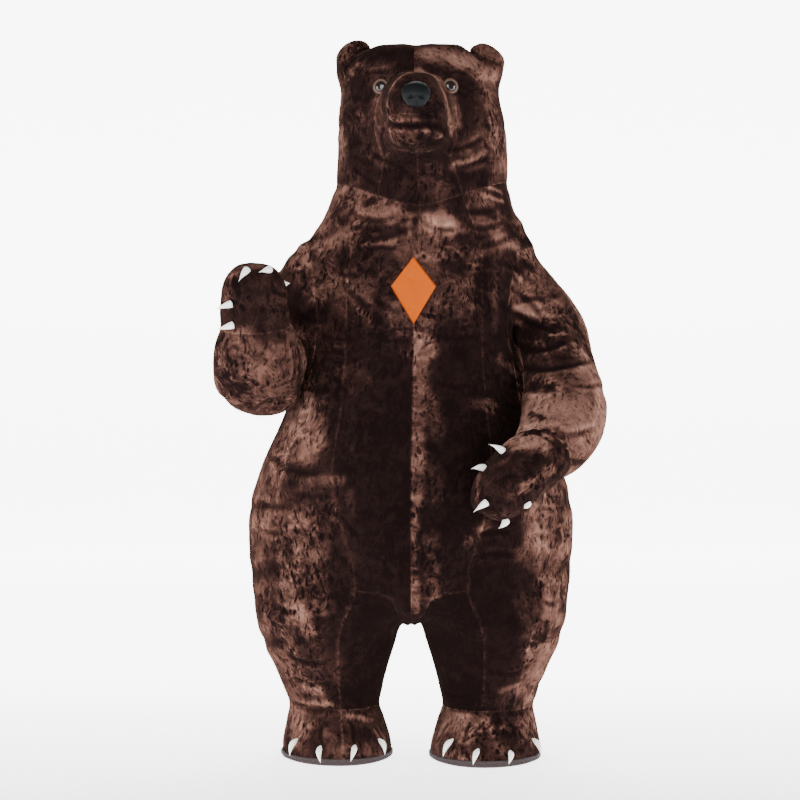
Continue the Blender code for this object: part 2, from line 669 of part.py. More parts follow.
def add_face_pieces(bm, tree, materials):
    """The two eyes and the nose, domed vinyl pieces that follow the plush under them."""
    for side in (1, -1):
        start = Vector((FACE_X + side * EYE_X, -1, EYE_Z))
        spot, normal, _, _ = tree.ray_cast(start, Vector((0, 1, 0)))
        sheet = prism_sheet(bm, spot, normal, ellipse(EYE_RADIUS, EYE_RADIUS, EYE_AROUND), 1)
        rise = dome(spot, normal, EYE_RADIUS, EYE_DOME)
        raise_piece("eye_" + side_letter(side), sheet, rise, materials["eye_gloss"])
    spot, normal, _, _ = tree.ray_cast(Vector((FACE_X, -1, NOSE_Z)), Vector((0, 1, 0)))
    axis = NOSE_AXIS.normalized()
    sheet = prism_sheet(bm, spot, axis, ellipse(*NOSE_HALF, NOSE_AROUND), 1)
    raise_piece("nose", sheet, dome(spot, axis, NOSE_HALF[1], NOSE_DOME), materials["nose_vinyl"])


def add_flat_pieces(bm, materials):
    """The chest diamond and the cover of the back zip, each an even thickness of plush."""
    diamond = [(PATCH_HALF, 0), (0, PATCH_UP), (-PATCH_HALF, 0), (0, -PATCH_DOWN)]
    sheet = prism_sheet(bm, Vector((0, -0.36, PATCH_Z)), Vector((0, -1, 0)), diamond, 0)
    raise_piece("chest_diamond", sheet, lambda co: PATCH_THICK, materials["orange_plush"])
    half_length = (ZIP_HIGH - ZIP_LOW) / 2
    cover = [(ZIP_HALF, half_length), (-ZIP_HALF, half_length), (-ZIP_HALF, -half_length), (ZIP_HALF, -half_length)]
    middle = Vector((0, 0.40, (ZIP_LOW + ZIP_HIGH) / 2))
    sheet = prism_sheet(bm, middle, Vector((0, 1, 0)), cover, 0)
    raise_piece("zip_cover", sheet, lambda co: ZIP_THICK, materials["plush"])


def add_claw(name, tree, claw, radius, material):
    """A curved stuffed claw on a flat round base that is seated just clear of the plush."""
    reach = Vector(claw.reach)
    length = reach.length
    spot, normal, _, _ = tree.find_nearest(Vector(claw.foot))
    across = normal.orthogonal().normalized()
    other = normal.cross(across)
    lift = 0.0
    for share in CLAW_SEAT_SHARES:
        for step in range(CLAW_SEAT_AROUND):
            turn = math.tau * step / CLAW_SEAT_AROUND
            way = (across * math.cos(turn) + other * math.sin(turn)) * radius * share
            hit = tree.ray_cast(spot + way + normal * length, -normal)[0]
            if hit is not None:
                lift = max(lift, (hit - spot).dot(normal))
    base = spot + normal * (lift + SEAT_GAP)
    leave = normal * length * CLAW_LEAVE
    rings, around = CLAW_RINGS, CLAW_AROUND
    points, faces = [], []
    for ring in range(rings):
        share = ring / rings
        size = radius * (1 - share ** CLAW_TAPER) + CLAW_TIP * share
        centre = base + leave * 2 * share * (1 - share) + reach * share * share
        for step in range(around):
            turn = math.tau * step / around
            points.append(centre + (across * math.cos(turn) + other * math.sin(turn)) * size)
    points.append(base + reach)
    tip = len(points) - 1
    faces.append(tuple(reversed(range(around))))
    for ring in range(rings - 1):
        for step in range(around):
            a, b = ring * around + step, ring * around + (step + 1) % around
            faces += [(a, b, b + around), (a, b + around, a + around)]
    for step in range(around):
        last = (rings - 1) * around
        faces.append((last + step, last + (step + 1) % around, tip))
    mesh = bpy.data.meshes.new(name)
    mesh.from_pydata(points, [], faces)
    return add_piece(name, mesh, material)


def add_claws(tree, material):
    """Five claws on each mitt and four on each foot."""
    for limb, claws in CLAWS.items():
        radius = HAND_CLAW if "hand" in limb else TOE_CLAW
        for number, claw in enumerate(claws):
            add_claw(f"{limb}_{number + 1}", tree, claw, radius, material)


def add_soles(bm, material):
    """A flat slab under each foot, a little wider than the plush that stands on it."""
    for side in (1, -1):
        edge = [vert for vert in bm.verts if vert.is_boundary and vert.co.x * side > 0]
        middle = sum((vert.co for vert in edge), Vector()) / len(edge)
        edge.sort(key=lambda vert: math.atan2(vert.co.y - middle.y, vert.co.x - middle.x))
        sole = bmesh.new()
        corners = []
        for vert in edge:
            way = Vector((vert.normal.x, vert.normal.y, 0)).normalized()
            corners.append(sole.verts.new((vert.co.x + way.x * SOLE_LIP, vert.co.y + way.y * SOLE_LIP, 0)))
        bottom = sole.faces.new(corners)
        grown = bmesh.ops.extrude_face_region(sole, geom=[bottom], use_keep_orig=True)["geom"]
        for vert in grown:
            if isinstance(vert, bmesh.types.BMVert):
                vert.co.z = SOLE
        bmesh.ops.recalc_face_normals(sole, faces=sole.faces[:])
        name = "sole_" + side_letter(side)
        mesh = bpy.data.meshes.new(name)
        sole.to_mesh(mesh)
        sole.free()
        add_piece(name, mesh, material)


start_collections()
materials = {name: make_material(name) for name in LOOKS}
skin = make_skin()
skin_tree = BVHTree.FromBMesh(skin)
for panel_name in PANELS:
    make_panel(skin, panel_name, materials["plush"])
add_face_pieces(skin, skin_tree, materials)
add_flat_pieces(skin, materials)
add_claws(skin_tree, materials["claw_vinyl"])
add_soles(skin, materials["sole_foam"])
skin.free()
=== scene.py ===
import math
from types import SimpleNamespace

import bmesh
import bpy
import numpy as np
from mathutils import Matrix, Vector, noise
from mathutils.bvhtree import BVHTree


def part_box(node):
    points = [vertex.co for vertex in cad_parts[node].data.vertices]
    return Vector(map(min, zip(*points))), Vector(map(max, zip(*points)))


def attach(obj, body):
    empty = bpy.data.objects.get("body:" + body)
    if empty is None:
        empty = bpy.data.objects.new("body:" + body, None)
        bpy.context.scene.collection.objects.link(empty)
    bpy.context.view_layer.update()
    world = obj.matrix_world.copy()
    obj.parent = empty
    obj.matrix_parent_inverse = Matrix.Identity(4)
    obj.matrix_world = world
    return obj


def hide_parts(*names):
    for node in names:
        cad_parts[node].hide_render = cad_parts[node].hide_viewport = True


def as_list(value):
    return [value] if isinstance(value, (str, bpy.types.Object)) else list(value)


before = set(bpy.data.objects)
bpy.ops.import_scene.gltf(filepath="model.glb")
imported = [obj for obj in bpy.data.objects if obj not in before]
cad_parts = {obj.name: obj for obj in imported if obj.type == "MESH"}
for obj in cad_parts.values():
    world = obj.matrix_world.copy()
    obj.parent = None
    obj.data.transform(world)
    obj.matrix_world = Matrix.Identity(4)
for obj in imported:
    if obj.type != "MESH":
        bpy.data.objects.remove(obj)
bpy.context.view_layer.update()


# ---- The sewn suit before its folds ----
# Thirty-two panels of short plush, sewn edge to edge and blown out by air, make one skin from the ears to the soles.
# Here the outside of every panel is taken, sewn up and made fine enough to hold folds.

NOT_CLOTH = ("eye", "nose", "chest", "zip", "claw", "sole")
CLOTH = sorted(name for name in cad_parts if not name.startswith(NOT_CLOTH))
WALL_EDGE = 0.0075  # every edge through a panel's wall is shorter than this, and every other edge longer
SEAM_WELD = 0.002  # welds across the sewing gap
SAME_POINT = 0.00001  # welds a solid's own corners
FINENESS = 3  # halvings of the skin's faces, which leaves them 7 mm wide


def outside_of(name):
    """The corners of every face on the outside of a panel's wall."""
    wall = bmesh.new()
    wall.from_mesh(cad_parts[name].data)
    bmesh.ops.remove_doubles(wall, verts=wall.verts, dist=SAME_POINT)
    broad = [face for face in wall.faces if min(edge.calc_length() for edge in face.edges) > WALL_EDGE]
    left = set(broad)
    layers = []
    for first in broad:
        layer = [first] if first in left else []
        left.discard(first)
        for face in layer:
            for edge in face.edges:
                for other in edge.link_faces:
                    if other in left:
                        left.discard(other)
                        layer.append(other)
        layers.append(layer)
    outside = max(layers, key=lambda layer: sum(face.calc_area() for face in layer))
    corners = [[vert.co.copy() for vert in face.verts] for face in outside]
    wall.free()
    return corners


def put_in_scene(name, data):
    """A mesh, lamp or camera as an object of the scene."""
    made = bpy.data.objects.new(name, data)
    bpy.context.scene.collection.objects.link(made)
    return made


def rounded(body):
    """A body's mesh with its rounding worked out."""
    return body.evaluated_get(bpy.context.evaluated_depsgraph_get()).to_mesh()


def read_rows(parts, what, width, kind):
    """One property of all points or faces of a mesh, a row for each."""
    values = np.empty(len(parts) * width, kind)
    parts.foreach_get(what, values)
    return values.reshape(-1, width)


def sew():
    """The whole skin as points, their outward directions, four-sided faces, and each face's panel."""
    sewn = bmesh.new()
    for number, name in enumerate(CLOTH):
        for corners in outside_of(name):
            face = sewn.faces.new([sewn.verts.new(corner) for corner in corners])
            face.material_index = number
    bmesh.ops.remove_doubles(sewn, verts=sewn.verts, dist=SEAM_WELD)
    bmesh.ops.join_triangles(
        sewn, faces=sewn.faces, cmp_materials=True, angle_face_threshold=math.pi, angle_shape_threshold=math.pi
    )
    mesh = bpy.data.meshes.new("skin")
    sewn.to_mesh(mesh)
    sewn.free()
    body = put_in_scene("skin", mesh)
    body.modifiers.new("smooth", "SUBSURF").levels = FINENESS
    drawn_in = rounded(body)
    lost = [vert.co - drawn_in.vertices[vert.index].co for vert in mesh.vertices]
    for vert, short in zip(mesh.vertices, lost):  # rounding draws the skin in, so it starts that much fuller
        vert.co += short
    mesh.update()
    fine = rounded(body)
    made = SimpleNamespace(
        co=read_rows(fine.vertices, "co", 3, np.float32).astype(float),
        out=read_rows(fine.vertices, "normal", 3, np.float32).astype(float),
        faces=read_rows(fine.polygons, "vertices", 4, np.int32),
        panel=read_rows(fine.polygons, "material_index", 1, np.int32)[:, 0],
    )
    bpy.data.objects.remove(body)
    return made


def rising(values, over):
    """How far values have come from 0 to over, as a share from 0 to 1."""
    return np.clip(values / over, 0, 1)


def box_of(node):
    """The low and the high corner of a solid's box."""
    return [Vector(corner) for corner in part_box(node)]


skin = sew()
skin_size = len(skin.co)
EAR_DROP = 0.018  # the wearer's left ear is sewn on a little lower than the right
EAR_FROM = (0.19, 2.46)  # it drops outward of the one and above the other
EAR_OVER = (0.05, 0.10)  # and the drop comes in over these distances
ear = rising(skin.co[:, 0] - EAR_FROM[0], EAR_OVER[0]) * rising(skin.co[:, 2] - EAR_FROM[1], EAR_OVER[1])
skin.co[:, 2] -= EAR_DROP * ear

JAW_SLIM = 0.13  # how far the jaw is drawn in under the muzzle
JAW_START = 0.09  # it starts this far under the top of the muzzle
JAW_OVER = 0.10  # and comes in and goes out over this height
JAW_DEEP = 0.06  # and over this depth from the face
jaw_low = box_of("jaw")[0]
muzzle_low, muzzle_high = box_of("muzzle")
slim = rising(muzzle_high.y - skin.co[:, 1], JAW_DEEP)
slim *= rising(muzzle_high.z - JAW_START - skin.co[:, 2], JAW_OVER)
slim *= rising(skin.co[:, 2] - jaw_low.z + JAW_OVER, JAW_OVER)
skin.co[:, 0] -= (skin.co[:, 0] - (muzzle_low.x + muzzle_high.x) / 2) * JAW_SLIM * slim

SOLE_SHOWS = 0.011  # how much further up the rubber shows at the toes than at the heel
SOLE_OVER = 0.07  # the height over which the foot's edge is drawn up for that
FOOT_REACH = 0.25  # no point of a foot is further from its middle across
for side in "lr":
    low, high = box_of("sole_" + side)
    ahead = rising((low.y + high.y) / 2 - skin.co[:, 1], (high.y - low.y) / 2) ** 2
    under = np.clip(1 - skin.co[:, 2] / SOLE_OVER, 0, 1)
    under *= np.abs(skin.co[:, 0] - (low.x + high.x) / 2) < FOOT_REACH
    skin.co[:, 2] += SOLE_SHOWS * ahead * under


def tree_of(surface):
    """A surface as it is now, to find places on it."""
    return BVHTree.FromPolygons(surface.co.tolist(), surface.faces.tolist())


skin_tree = tree_of(skin)


# ---- Folds ----
# The plush is light and soft and the air holds it only slackly, so it is creased at every bend and crushed between.
# The main creases are drawn on four sheets, front, back, left and right, and pressed in where they meet the skin, with
# painted shade in each groove and painted light on its lips.

SHEET_UNIT = 0.00364  # metres to a unit of the sheets, which are 800 units wide and high
SHEET_MIDDLE = 400
SHEET_AXIS = Vector((-0.0339, 0.1306, 1.296))
VIEW_DISTANCE = 8.0
VIEWS = {"front": Vector((0, -1, 0)), "back": Vector((0, 1, 0)), "left": Vector((1, 0, 0)), "right": Vector((-1, 0, 0))}
LINE_STEP = 5  # units between the points of a drawn line
LINE_BREAK = 0.12  # a line ends where it would jump this far, from an arm to the trunk
CORNER_CUT = 0.25  # a line's corners are cut this far along both its sides, twice
NOT_NEAR, SHORTEST = 10.0, 1e-6
UP = Vector((0, 0, 1))


def spot(view, across, down):
    """The point of the skin under a place on a sheet."""
    away = VIEWS[view]
    eye = SHEET_AXIS + away * VIEW_DISTANCE
    sideways = UP.cross(away) * (across - SHEET_MIDDLE) * SHEET_UNIT
    target = SHEET_AXIS + sideways + UP * (SHEET_MIDDLE - down) * SHEET_UNIT
    return skin_tree.ray_cast(eye, (target - eye).normalized())[0]


def trace(view, drawn):
    """A line drawn on a sheet, given as across, down, across, down and so on, as points on the skin."""
    line = [Vector(point) for point in zip(drawn[::2], drawn[1::2])]
    for _ in range(2 if len(line) > 2 else 0):
        cut = [line[0]]
        for a, b in zip(line, line[1:]):
            cut += [a.lerp(b, CORNER_CUT), a.lerp(b, 1 - CORNER_CUT)]
        line = cut + [line[-1]]
    found = []
    for a, b in zip(line, line[1:]):
        steps = max(1, round((b - a).length / LINE_STEP))
        for step in range(steps + 1):
            place = spot(view, *a.lerp(b, step / steps))
            if place is not None and (not found or (place - found[-1]).length < LINE_BREAK):
                found.append(place)
    return np.array([tuple(place) for place in found])


def near_line(co, line, reach):
    """The points within reach of a line: their numbers, their distances and how far along it they are."""
    near = np.flatnonzero(np.all((co > line.min(0) - reach) & (co < line.max(0) + reach), axis=1))
    gap = np.full(len(near), NOT_NEAR)
    along = np.zeros(len(near))
    lengths = np.linalg.norm(np.diff(line, axis=0), axis=1)
    total = max(lengths.sum(), SHORTEST)
    done = 0.0
    for a, b, length in zip(line[:-1], line[1:], lengths):
        if length > SHORTEST:
            part = np.clip((co[near] - a) @ (b - a) / length**2, 0, 1)
            here = np.linalg.norm(co[near] - a - part[:, None] * (b - a), axis=1)
            closer = here < gap
            gap[closer] = here[closer]
            along[closer] = (done + part[closer] * length) / total
        done += length
    return near, gap, along


def mirrored(rows, down=0):
    """Rows of creases or patches, with their lines on the other half of the sheet and moved down."""
    def moved(place, n):
        return n + down if place % 2 else 2 * SHEET_MIDDLE - n

    return [(first, half, *[moved(*corner) for corner in enumerate(drawn)]) for first, half, *drawn in rows]


rise = np.zeros(skin_size)  # how far each point of the skin is pressed in or pushed out
shade = np.zeros(skin_size)  # painted shade darkening each crease and painted light on its lips
FOLD_REACH, SWELL_REACH = 4, 3  # how far out folds and swells are worked out, in their half widths
LIP_PLACE = 2  # and where the lips beside a crease are highest
LIP_HEIGHT = 0.45  # the lips beside a crease, as a share of its depth
# painted light on a crease's lips and painted shade in its groove
LIP_LIGHT, GROOVE_SHADE = 0.30, 0.55
DARK_DEPTH = 9  # millimetres of depth at which a crease's painted shade is at its darkest
END_SHARE, END_SOFT = 0.02, 1.6  # how little is left of a crease at its ends, and how soon it is at its full depth


def press(view, creases):
    """Presses creases into the skin; each is its depth and half width in millimetres and its drawn line."""
    for depth, half, *drawn in creases:
        line = trace(view, drawn)
        if len(line) < 2:
            continue
        half_m, depth_m = half / 1000, depth / 1000
        near, gap, along = near_line(skin.co, line, half_m * FOLD_REACH)
        fade = np.clip(np.sin(np.pi * np.clip(along, END_SHARE, 1 - END_SHARE)) * END_SOFT, 0, 1)
        groove = np.exp(-((gap / half_m) ** 2)) * fade
        lip = np.exp(-(((gap - LIP_PLACE * half_m) / half_m) ** 2)) * fade
        rise[near] += depth_m * (LIP_HEIGHT * lip - groove)
        # paints shade into the groove and light onto the lips
        shade[near] += np.clip(depth / DARK_DEPTH, 0, 1) * (LIP_LIGHT * lip - GROOVE_SHADE * groove)


def puff(view, swells):
    """Blows the skin out; each swell is its height and half width in millimetres and its drawn line."""
    for height, half, *drawn in swells:
        near, gap, _ = near_line(skin.co, trace(view, drawn), half / 1000 * SWELL_REACH)
        rise[near] += height / 1000 * np.exp(-((gap * 1000 / half) ** 2))


def swell(height, half, place):
    """Blows the skin out round one place, such as the inside of the bent elbow, where the arm touches itself."""
    gap = np.linalg.norm(skin.co - np.array(place), axis=1) * 1000
    rise[:] += height / 1000 * np.exp(-((gap / half) ** 2))


ARM_FOLDS = (
    (6, 10, 499, 262, 516, 268, 538, 286), (5, 9, 503, 283, 524, 296, 546, 322), (8, 12, 502, 306, 528, 322, 560, 333),
    (9, 13, 510, 346, 540, 352, 574, 337), (5, 9, 560, 318, 578, 328, 590, 345), (7, 11, 512, 366, 545, 371, 592, 360),
    (4, 9, 505, 385, 530, 392, 560, 390), (4, 8, 566, 382, 584, 388, 602, 384), (4, 8, 500, 402, 522, 412, 548, 414),
    (5, 9, 548, 426, 572, 436, 598, 428), (4, 8, 520, 428, 545, 436, 562, 452), (4, 8, 560, 452, 574, 462, 588, 462),
    (2, 9, 236, 326, 256, 330, 276, 326), (2, 7, 222, 350, 234, 345, 246, 352), (2, 7, 262, 344, 274, 350, 280, 362),
    (3, 8, 222, 382, 232, 392, 244, 398), (2, 7, 226, 360, 240, 364, 250, 374), (3, 8, 238, 404, 252, 402, 266, 394),
    (4, 7, 292, 344, 296, 362, 292, 386), (4, 8, 282, 250, 300, 262, 306, 284), (5, 9, 268, 286, 284, 296, 310, 300),
    (4, 9, 296, 312, 312, 322, 330, 320),
)
CHEST_FOLDS = (
    (4, 9, 350, 214, 376, 222, 402, 214), (4, 8, 344, 232, 362, 226, 386, 232), (5, 10, 376, 238, 396, 234, 414, 226),
    (4, 8, 354, 250, 384, 246, 404, 250), (4, 8, 424, 222, 438, 230, 458, 228), (4, 9, 458, 208, 478, 214, 502, 206),
    (4, 8, 462, 224, 484, 230, 508, 220), (5, 10, 466, 244, 490, 246, 514, 236), (4, 8, 446, 254, 470, 262, 492, 258),
    (3, 8, 440, 300, 462, 306, 484, 298), (5, 11, 342, 286, 362, 302, 384, 322), (4, 9, 372, 292, 382, 306, 402, 314),
    (4, 8, 330, 268, 346, 276, 366, 274), (4, 10, 316, 330, 336, 342, 360, 338), (4, 9, 322, 356, 340, 364, 366, 356),
    (4, 10, 300, 384, 318, 392, 346, 386), (4, 9, 430, 332, 456, 340, 486, 334), (3, 8, 432, 380, 450, 388, 474, 384),
)
LEG_FOLDS = (
    (5, 11, 282, 464, 300, 474, 320, 472), (3, 9, 290, 492, 306, 497, 326, 494), (6, 9, 262, 452, 280, 462, 292, 480),
    (5, 9, 256, 500, 272, 508, 290, 506), (5, 8, 258, 528, 270, 534, 286, 532), (6, 9, 318, 504, 340, 516, 362, 540),
    (3, 7, 534, 510, 546, 508, 558, 511), (2, 7, 530, 522, 540, 518, 552, 522), (3, 7, 530, 536, 540, 534, 548, 538),
    (2, 7, 548, 548, 556, 546, 563, 550), (5, 9, 470, 560, 492, 552, 520, 556), (6, 9, 478, 536, 494, 530, 512, 534),
    (6, 10, 284, 652, 304, 664, 330, 664), (6, 9, 290, 676, 312, 686, 334, 682), (4, 9, 292, 703, 318, 711, 340, 708),
    (3, 8, 346, 708, 362, 713, 378, 706), (4, 8, 440, 690, 458, 697, 476, 691), (4, 9, 446, 706, 470, 712, 492, 708),
    (6, 9, 492, 672, 512, 676, 532, 664), (5, 8, 270, 600, 284, 612, 300, 612), (5, 8, 540, 600, 552, 606, 560, 600),
    (5, 8, 520, 640, 534, 646, 546, 640),
)
FOOT_FOLDS = (
    (6, 7, 306, 722, 300, 732, 292, 744), (5, 7, 324, 720, 320, 732, 322, 746), (5, 7, 350, 720, 354, 732, 354, 746),
    (6, 7, 372, 722, 378, 732, 386, 744), (6, 7, 450, 722, 442, 732, 436, 744), (5, 7, 470, 720, 466, 734, 462, 748),
    (5, 7, 510, 720, 516, 734, 516, 748), (6, 7, 528, 720, 534, 732, 538, 744),
)
FACE_FOLDS = (
    (10, 9, 386, 124, 412, 126, 436, 124, 450, 137), (6, 8, 384, 128, 380, 140, 386, 150),
    (6, 8, 368, 148, 380, 160, 398, 164), (6, 8, 446, 150, 466, 148, 486, 136), (5, 7, 396, 104, 392, 112, 400, 122),
    (5, 7, 424, 112, 430, 118, 428, 126), (4, 7, 352, 164, 364, 178, 384, 188), (5, 8, 452, 168, 470, 166, 492, 156),
    (5, 7, 364, 76, 372, 71, 388, 72), (5, 7, 444, 74, 458, 70, 470, 76), (4, 7, 346, 112, 354, 124, 352, 142),
    (4, 7, 486, 104, 494, 122, 492, 142),
)
BACK_FOLDS = (
    (5, 10, 338, 212, 362, 226, 384, 224), (7, 9, 412, 232, 436, 226, 458, 210), (7, 10, 322, 240, 344, 262, 376, 270),
    (4, 10, 430, 254, 452, 252, 476, 240), (4, 9, 350, 290, 370, 302, 392, 300), (6, 9, 418, 286, 438, 306, 474, 312),
    (8, 11, 300, 352, 332, 356, 366, 374), (5, 10, 404, 344, 426, 350, 446, 344), (9, 12, 306, 410, 350, 404, 392, 416),
    (10, 12, 416, 396, 456, 412, 500, 402), (4, 11, 340, 432, 362, 440, 384, 436),
    (6, 10, 440, 372, 466, 380, 488, 366), (7, 11, 286, 458, 322, 476, 360, 480), (8, 11, 430, 446, 468, 464, 514, 462),
    (5, 10, 262, 520, 286, 540, 322, 544), (7, 10, 474, 520, 506, 528, 536, 514),
    (12, 12, 300, 590, 330, 606, 372, 604), (11, 12, 428, 604, 466, 606, 500, 592),
    (6, 10, 292, 636, 318, 654, 348, 650), (8, 10, 452, 634, 480, 650, 508, 646), (9, 10, 292, 694, 322, 702, 350, 690),
    (7, 10, 444, 688, 470, 702, 506, 698), (8, 10, 206, 372, 228, 384, 252, 380), (8, 10, 214, 334, 232, 342, 256, 334),
    (7, 9, 222, 420, 240, 430, 262, 424), (8, 10, 520, 352, 548, 362, 574, 352), (7, 9, 508, 320, 532, 328, 556, 318),
    (5, 8, 350, 120, 380, 128, 398, 122), (5, 8, 404, 128, 430, 132, 452, 124), (6, 8, 346, 170, 376, 180, 398, 176),
    (6, 8, 406, 178, 436, 182, 456, 170),
)
SIDE_FOLDS = (
    (7, 9, 340, 220, 366, 232, 396, 226), (9, 11, 330, 300, 352, 312, 380, 304), (10, 12, 300, 352, 330, 366, 372, 356),
    (8, 10, 306, 388, 336, 396, 372, 390), (9, 11, 420, 420, 456, 432, 500, 424), (8, 10, 330, 500, 372, 512, 414, 506),
    (8, 10, 430, 496, 464, 504, 496, 494), (9, 11, 330, 566, 372, 580, 410, 572), (8, 10, 420, 590, 450, 598, 480, 590),
    (9, 10, 340, 640, 380, 652, 420, 644), (9, 10, 350, 696, 392, 706, 436, 698), (6, 8, 356, 722, 352, 736, 342, 748),
    (5, 8, 360, 110, 388, 118, 416, 112), (6, 8, 350, 166, 384, 178, 424, 170),
)
SIDE_SOFTER = 0.42  # the sides are stretched smoother than the front
RIGHT_LOWER = 6  # the right side's creases lie this much lower than the left side's
for folds in (ARM_FOLDS, CHEST_FOLDS, LEG_FOLDS, FOOT_FOLDS, FACE_FOLDS):
    press("front", folds)
puff("front", (
    (24, 46, 294, 262, 306, 258), (18, 32, 305, 248, 313, 243), (20, 42, 517, 226, 527, 246),
    (16, 40, 231, 398, 245, 406), (-18, 36, 275, 404, 284, 402),
))
swell(11, 48, (-0.370, -0.190, 1.436))
swell(9, 50, (-0.381, 0.100, 1.440))
press("back", BACK_FOLDS)
soft_folds = [(depth * SIDE_SOFTER, half / SIDE_SOFTER, *drawn) for depth, half, *drawn in SIDE_FOLDS]
press("left", soft_folds)
press("right", mirrored(soft_folds, RIGHT_LOWER))


def ripples(*waves):
    """Smooth random heights all over the skin; each wave is its share of them and its ripples to a metre."""
    places = [Vector(point) for point in skin.co.tolist()]
    return np.array([sum(part * noise.noise(place * scale) for part, scale in waves) for place in places])


CRUSH = 0.0018  # how high the crushed plush stands between the creases
rise += CRUSH * ripples((1, 14), (0.6, 34))

skin.co += skin.out * rise[:, None]


# ---- Cutting the skin into its panels ----
# Every panel is one cut of plush with its edges turned in along the seams, where the pile parts to a thin light line.
# The nap is brushed each way by handling, so it reads light where it leans up and dark where it leans down.
# The same tone also holds painted light and shade: painted sheen on edges seen edge-on, painted light on shoulders and
# sides, painted shade on fronts.

TURNED_IN = 0.010  # allowance of cloth turned in at every edge
EDGE_INSET = 0.0012  # how far it leans against its neighbour
SEAM_GAP = EDGE_INSET / 4  # how far a cut edge stands back from its seam
NO_LENGTH = 1e-9

ragged = ripples((1, 13), (0.7, 31), (0.5, 67))


def set_inputs(links, node, inputs):
    """Joins a node's inputs to other nodes' outputs, or sets them to values."""
    for name, value in inputs.items():
        if isinstance(value, bpy.types.NodeSocket):
            links.new(value, node.inputs[name])
        else:
            node.inputs[name].default_value = value


def start_finish(name):
    """Starts a material; gives the maker of its nodes and the function that sets its surface and hands it over."""
    material = bpy.data.materials.new(name)
    material.use_nodes = True
    nodes, links = material.node_tree.nodes, material.node_tree.links
    surface = nodes["Principled BSDF"]

    def add(kind, inputs=None, operation=None):
        node = nodes.new("ShaderNode" + kind)
        if operation:
            node.operation = operation
        set_inputs(links, node, inputs or {})
        return node.outputs

    def finish(**by_name):
        set_inputs(links, surface, {socket.replace("_", " "): value for socket, value in by_name.items()})
        return material

    return add, finish


def spread(add, value, low, high, to_low, to_high):
    """A value between low and high brought between two others."""
    inputs = {"Value": value, "From Min": low, "From Max": high, "To Min": to_low, "To Max": to_high}
    return add("MapRange", inputs)["Result"]


def ramp(add, value, tones):
    """The tone of a value, between tones that are each their stop and their red, green and blue out of 255."""
    colored = add("ValToRGB", {"Fac": value})["Color"]
    stops = colored.node.color_ramp.elements
    stops.remove(stops[0])
    for number, (stop, color) in enumerate(tones):
        element = stops.new(stop) if number else stops[0]
        element.position = stop
        element.color = (*[(part / 255) ** 2.2 for part in color], 1)
    return colored


def raise_up(add, height, strength, distance):
    """The surface's direction over a fine relief."""
    return add("Bump", {"Height": height, "Strength": strength, "Distance": distance})["Normal"]


# Each kind of mark in the plush: the scale, detail, distortion and roughness of its noise, and how that is spread.
PATCHES = ((7, 4, 0.6, 0.6), (0.34, 0.66, -0.13, 0.13))
BLOTCHES = ((21, 6, 1.0, 0.64), (0.36, 0.60, -0.30, 0.15))
FLECKS = ((84, 2, 0.9, 0.6), (0.52, 0.72, -0.02, 0.15))
GRAIN = ((300, 3, 0, 0.6), (0.3, 0.7, -0.05, 0.05))
CALM = ((4.5, 2, 0.3, 0.6), (0.42, 0.58, 0.50, 1.10))  # some of the pile is smooth and some well crushed
PARTING = ((70, 2, 0, 0.6), (0.35, 0.65, 0.1, 0.75))
STROKES = ((58, (0.6, 0.9, 0.3), 0.50), (76, (-0.5, -0.8, 0.4), 0.47))  # scale, turn and how few
STROKE_SHAPE = (1, 1, 0.36)
STROKE_EDGE = (0.20, 0.42, 1, 0)  # how a stroke fades out from its middle
STROKE_MIX = 0.05  # how gradually strokes are left out
STROKE_DEPTH = 0.40
DRIFT, DRIFT_SCALE = (0.09, 0.09, 0.09), 9  # how far and how often the strokes are swept aside
DARK_HIDES = (0.05, 0.45, 0.35, 1.0)  # dark nap hides its own marks
LIGHT_HIDES = (0.50, 0.80, 1.0, 0.66)  # and so does smooth light nap
DULL = (0, 1, 0.94, 0.72)  # dark plush is the duller
PLUSH_RELIEF, MARK_RELIEF = 0.8, 1.4  # how strongly all the relief shows, and how high the marks stand in it
PILE_RELIEF = (((240, 4, 0.4, 0.6), 0.35), ((900, 2, 0, 0.6), 0.2))


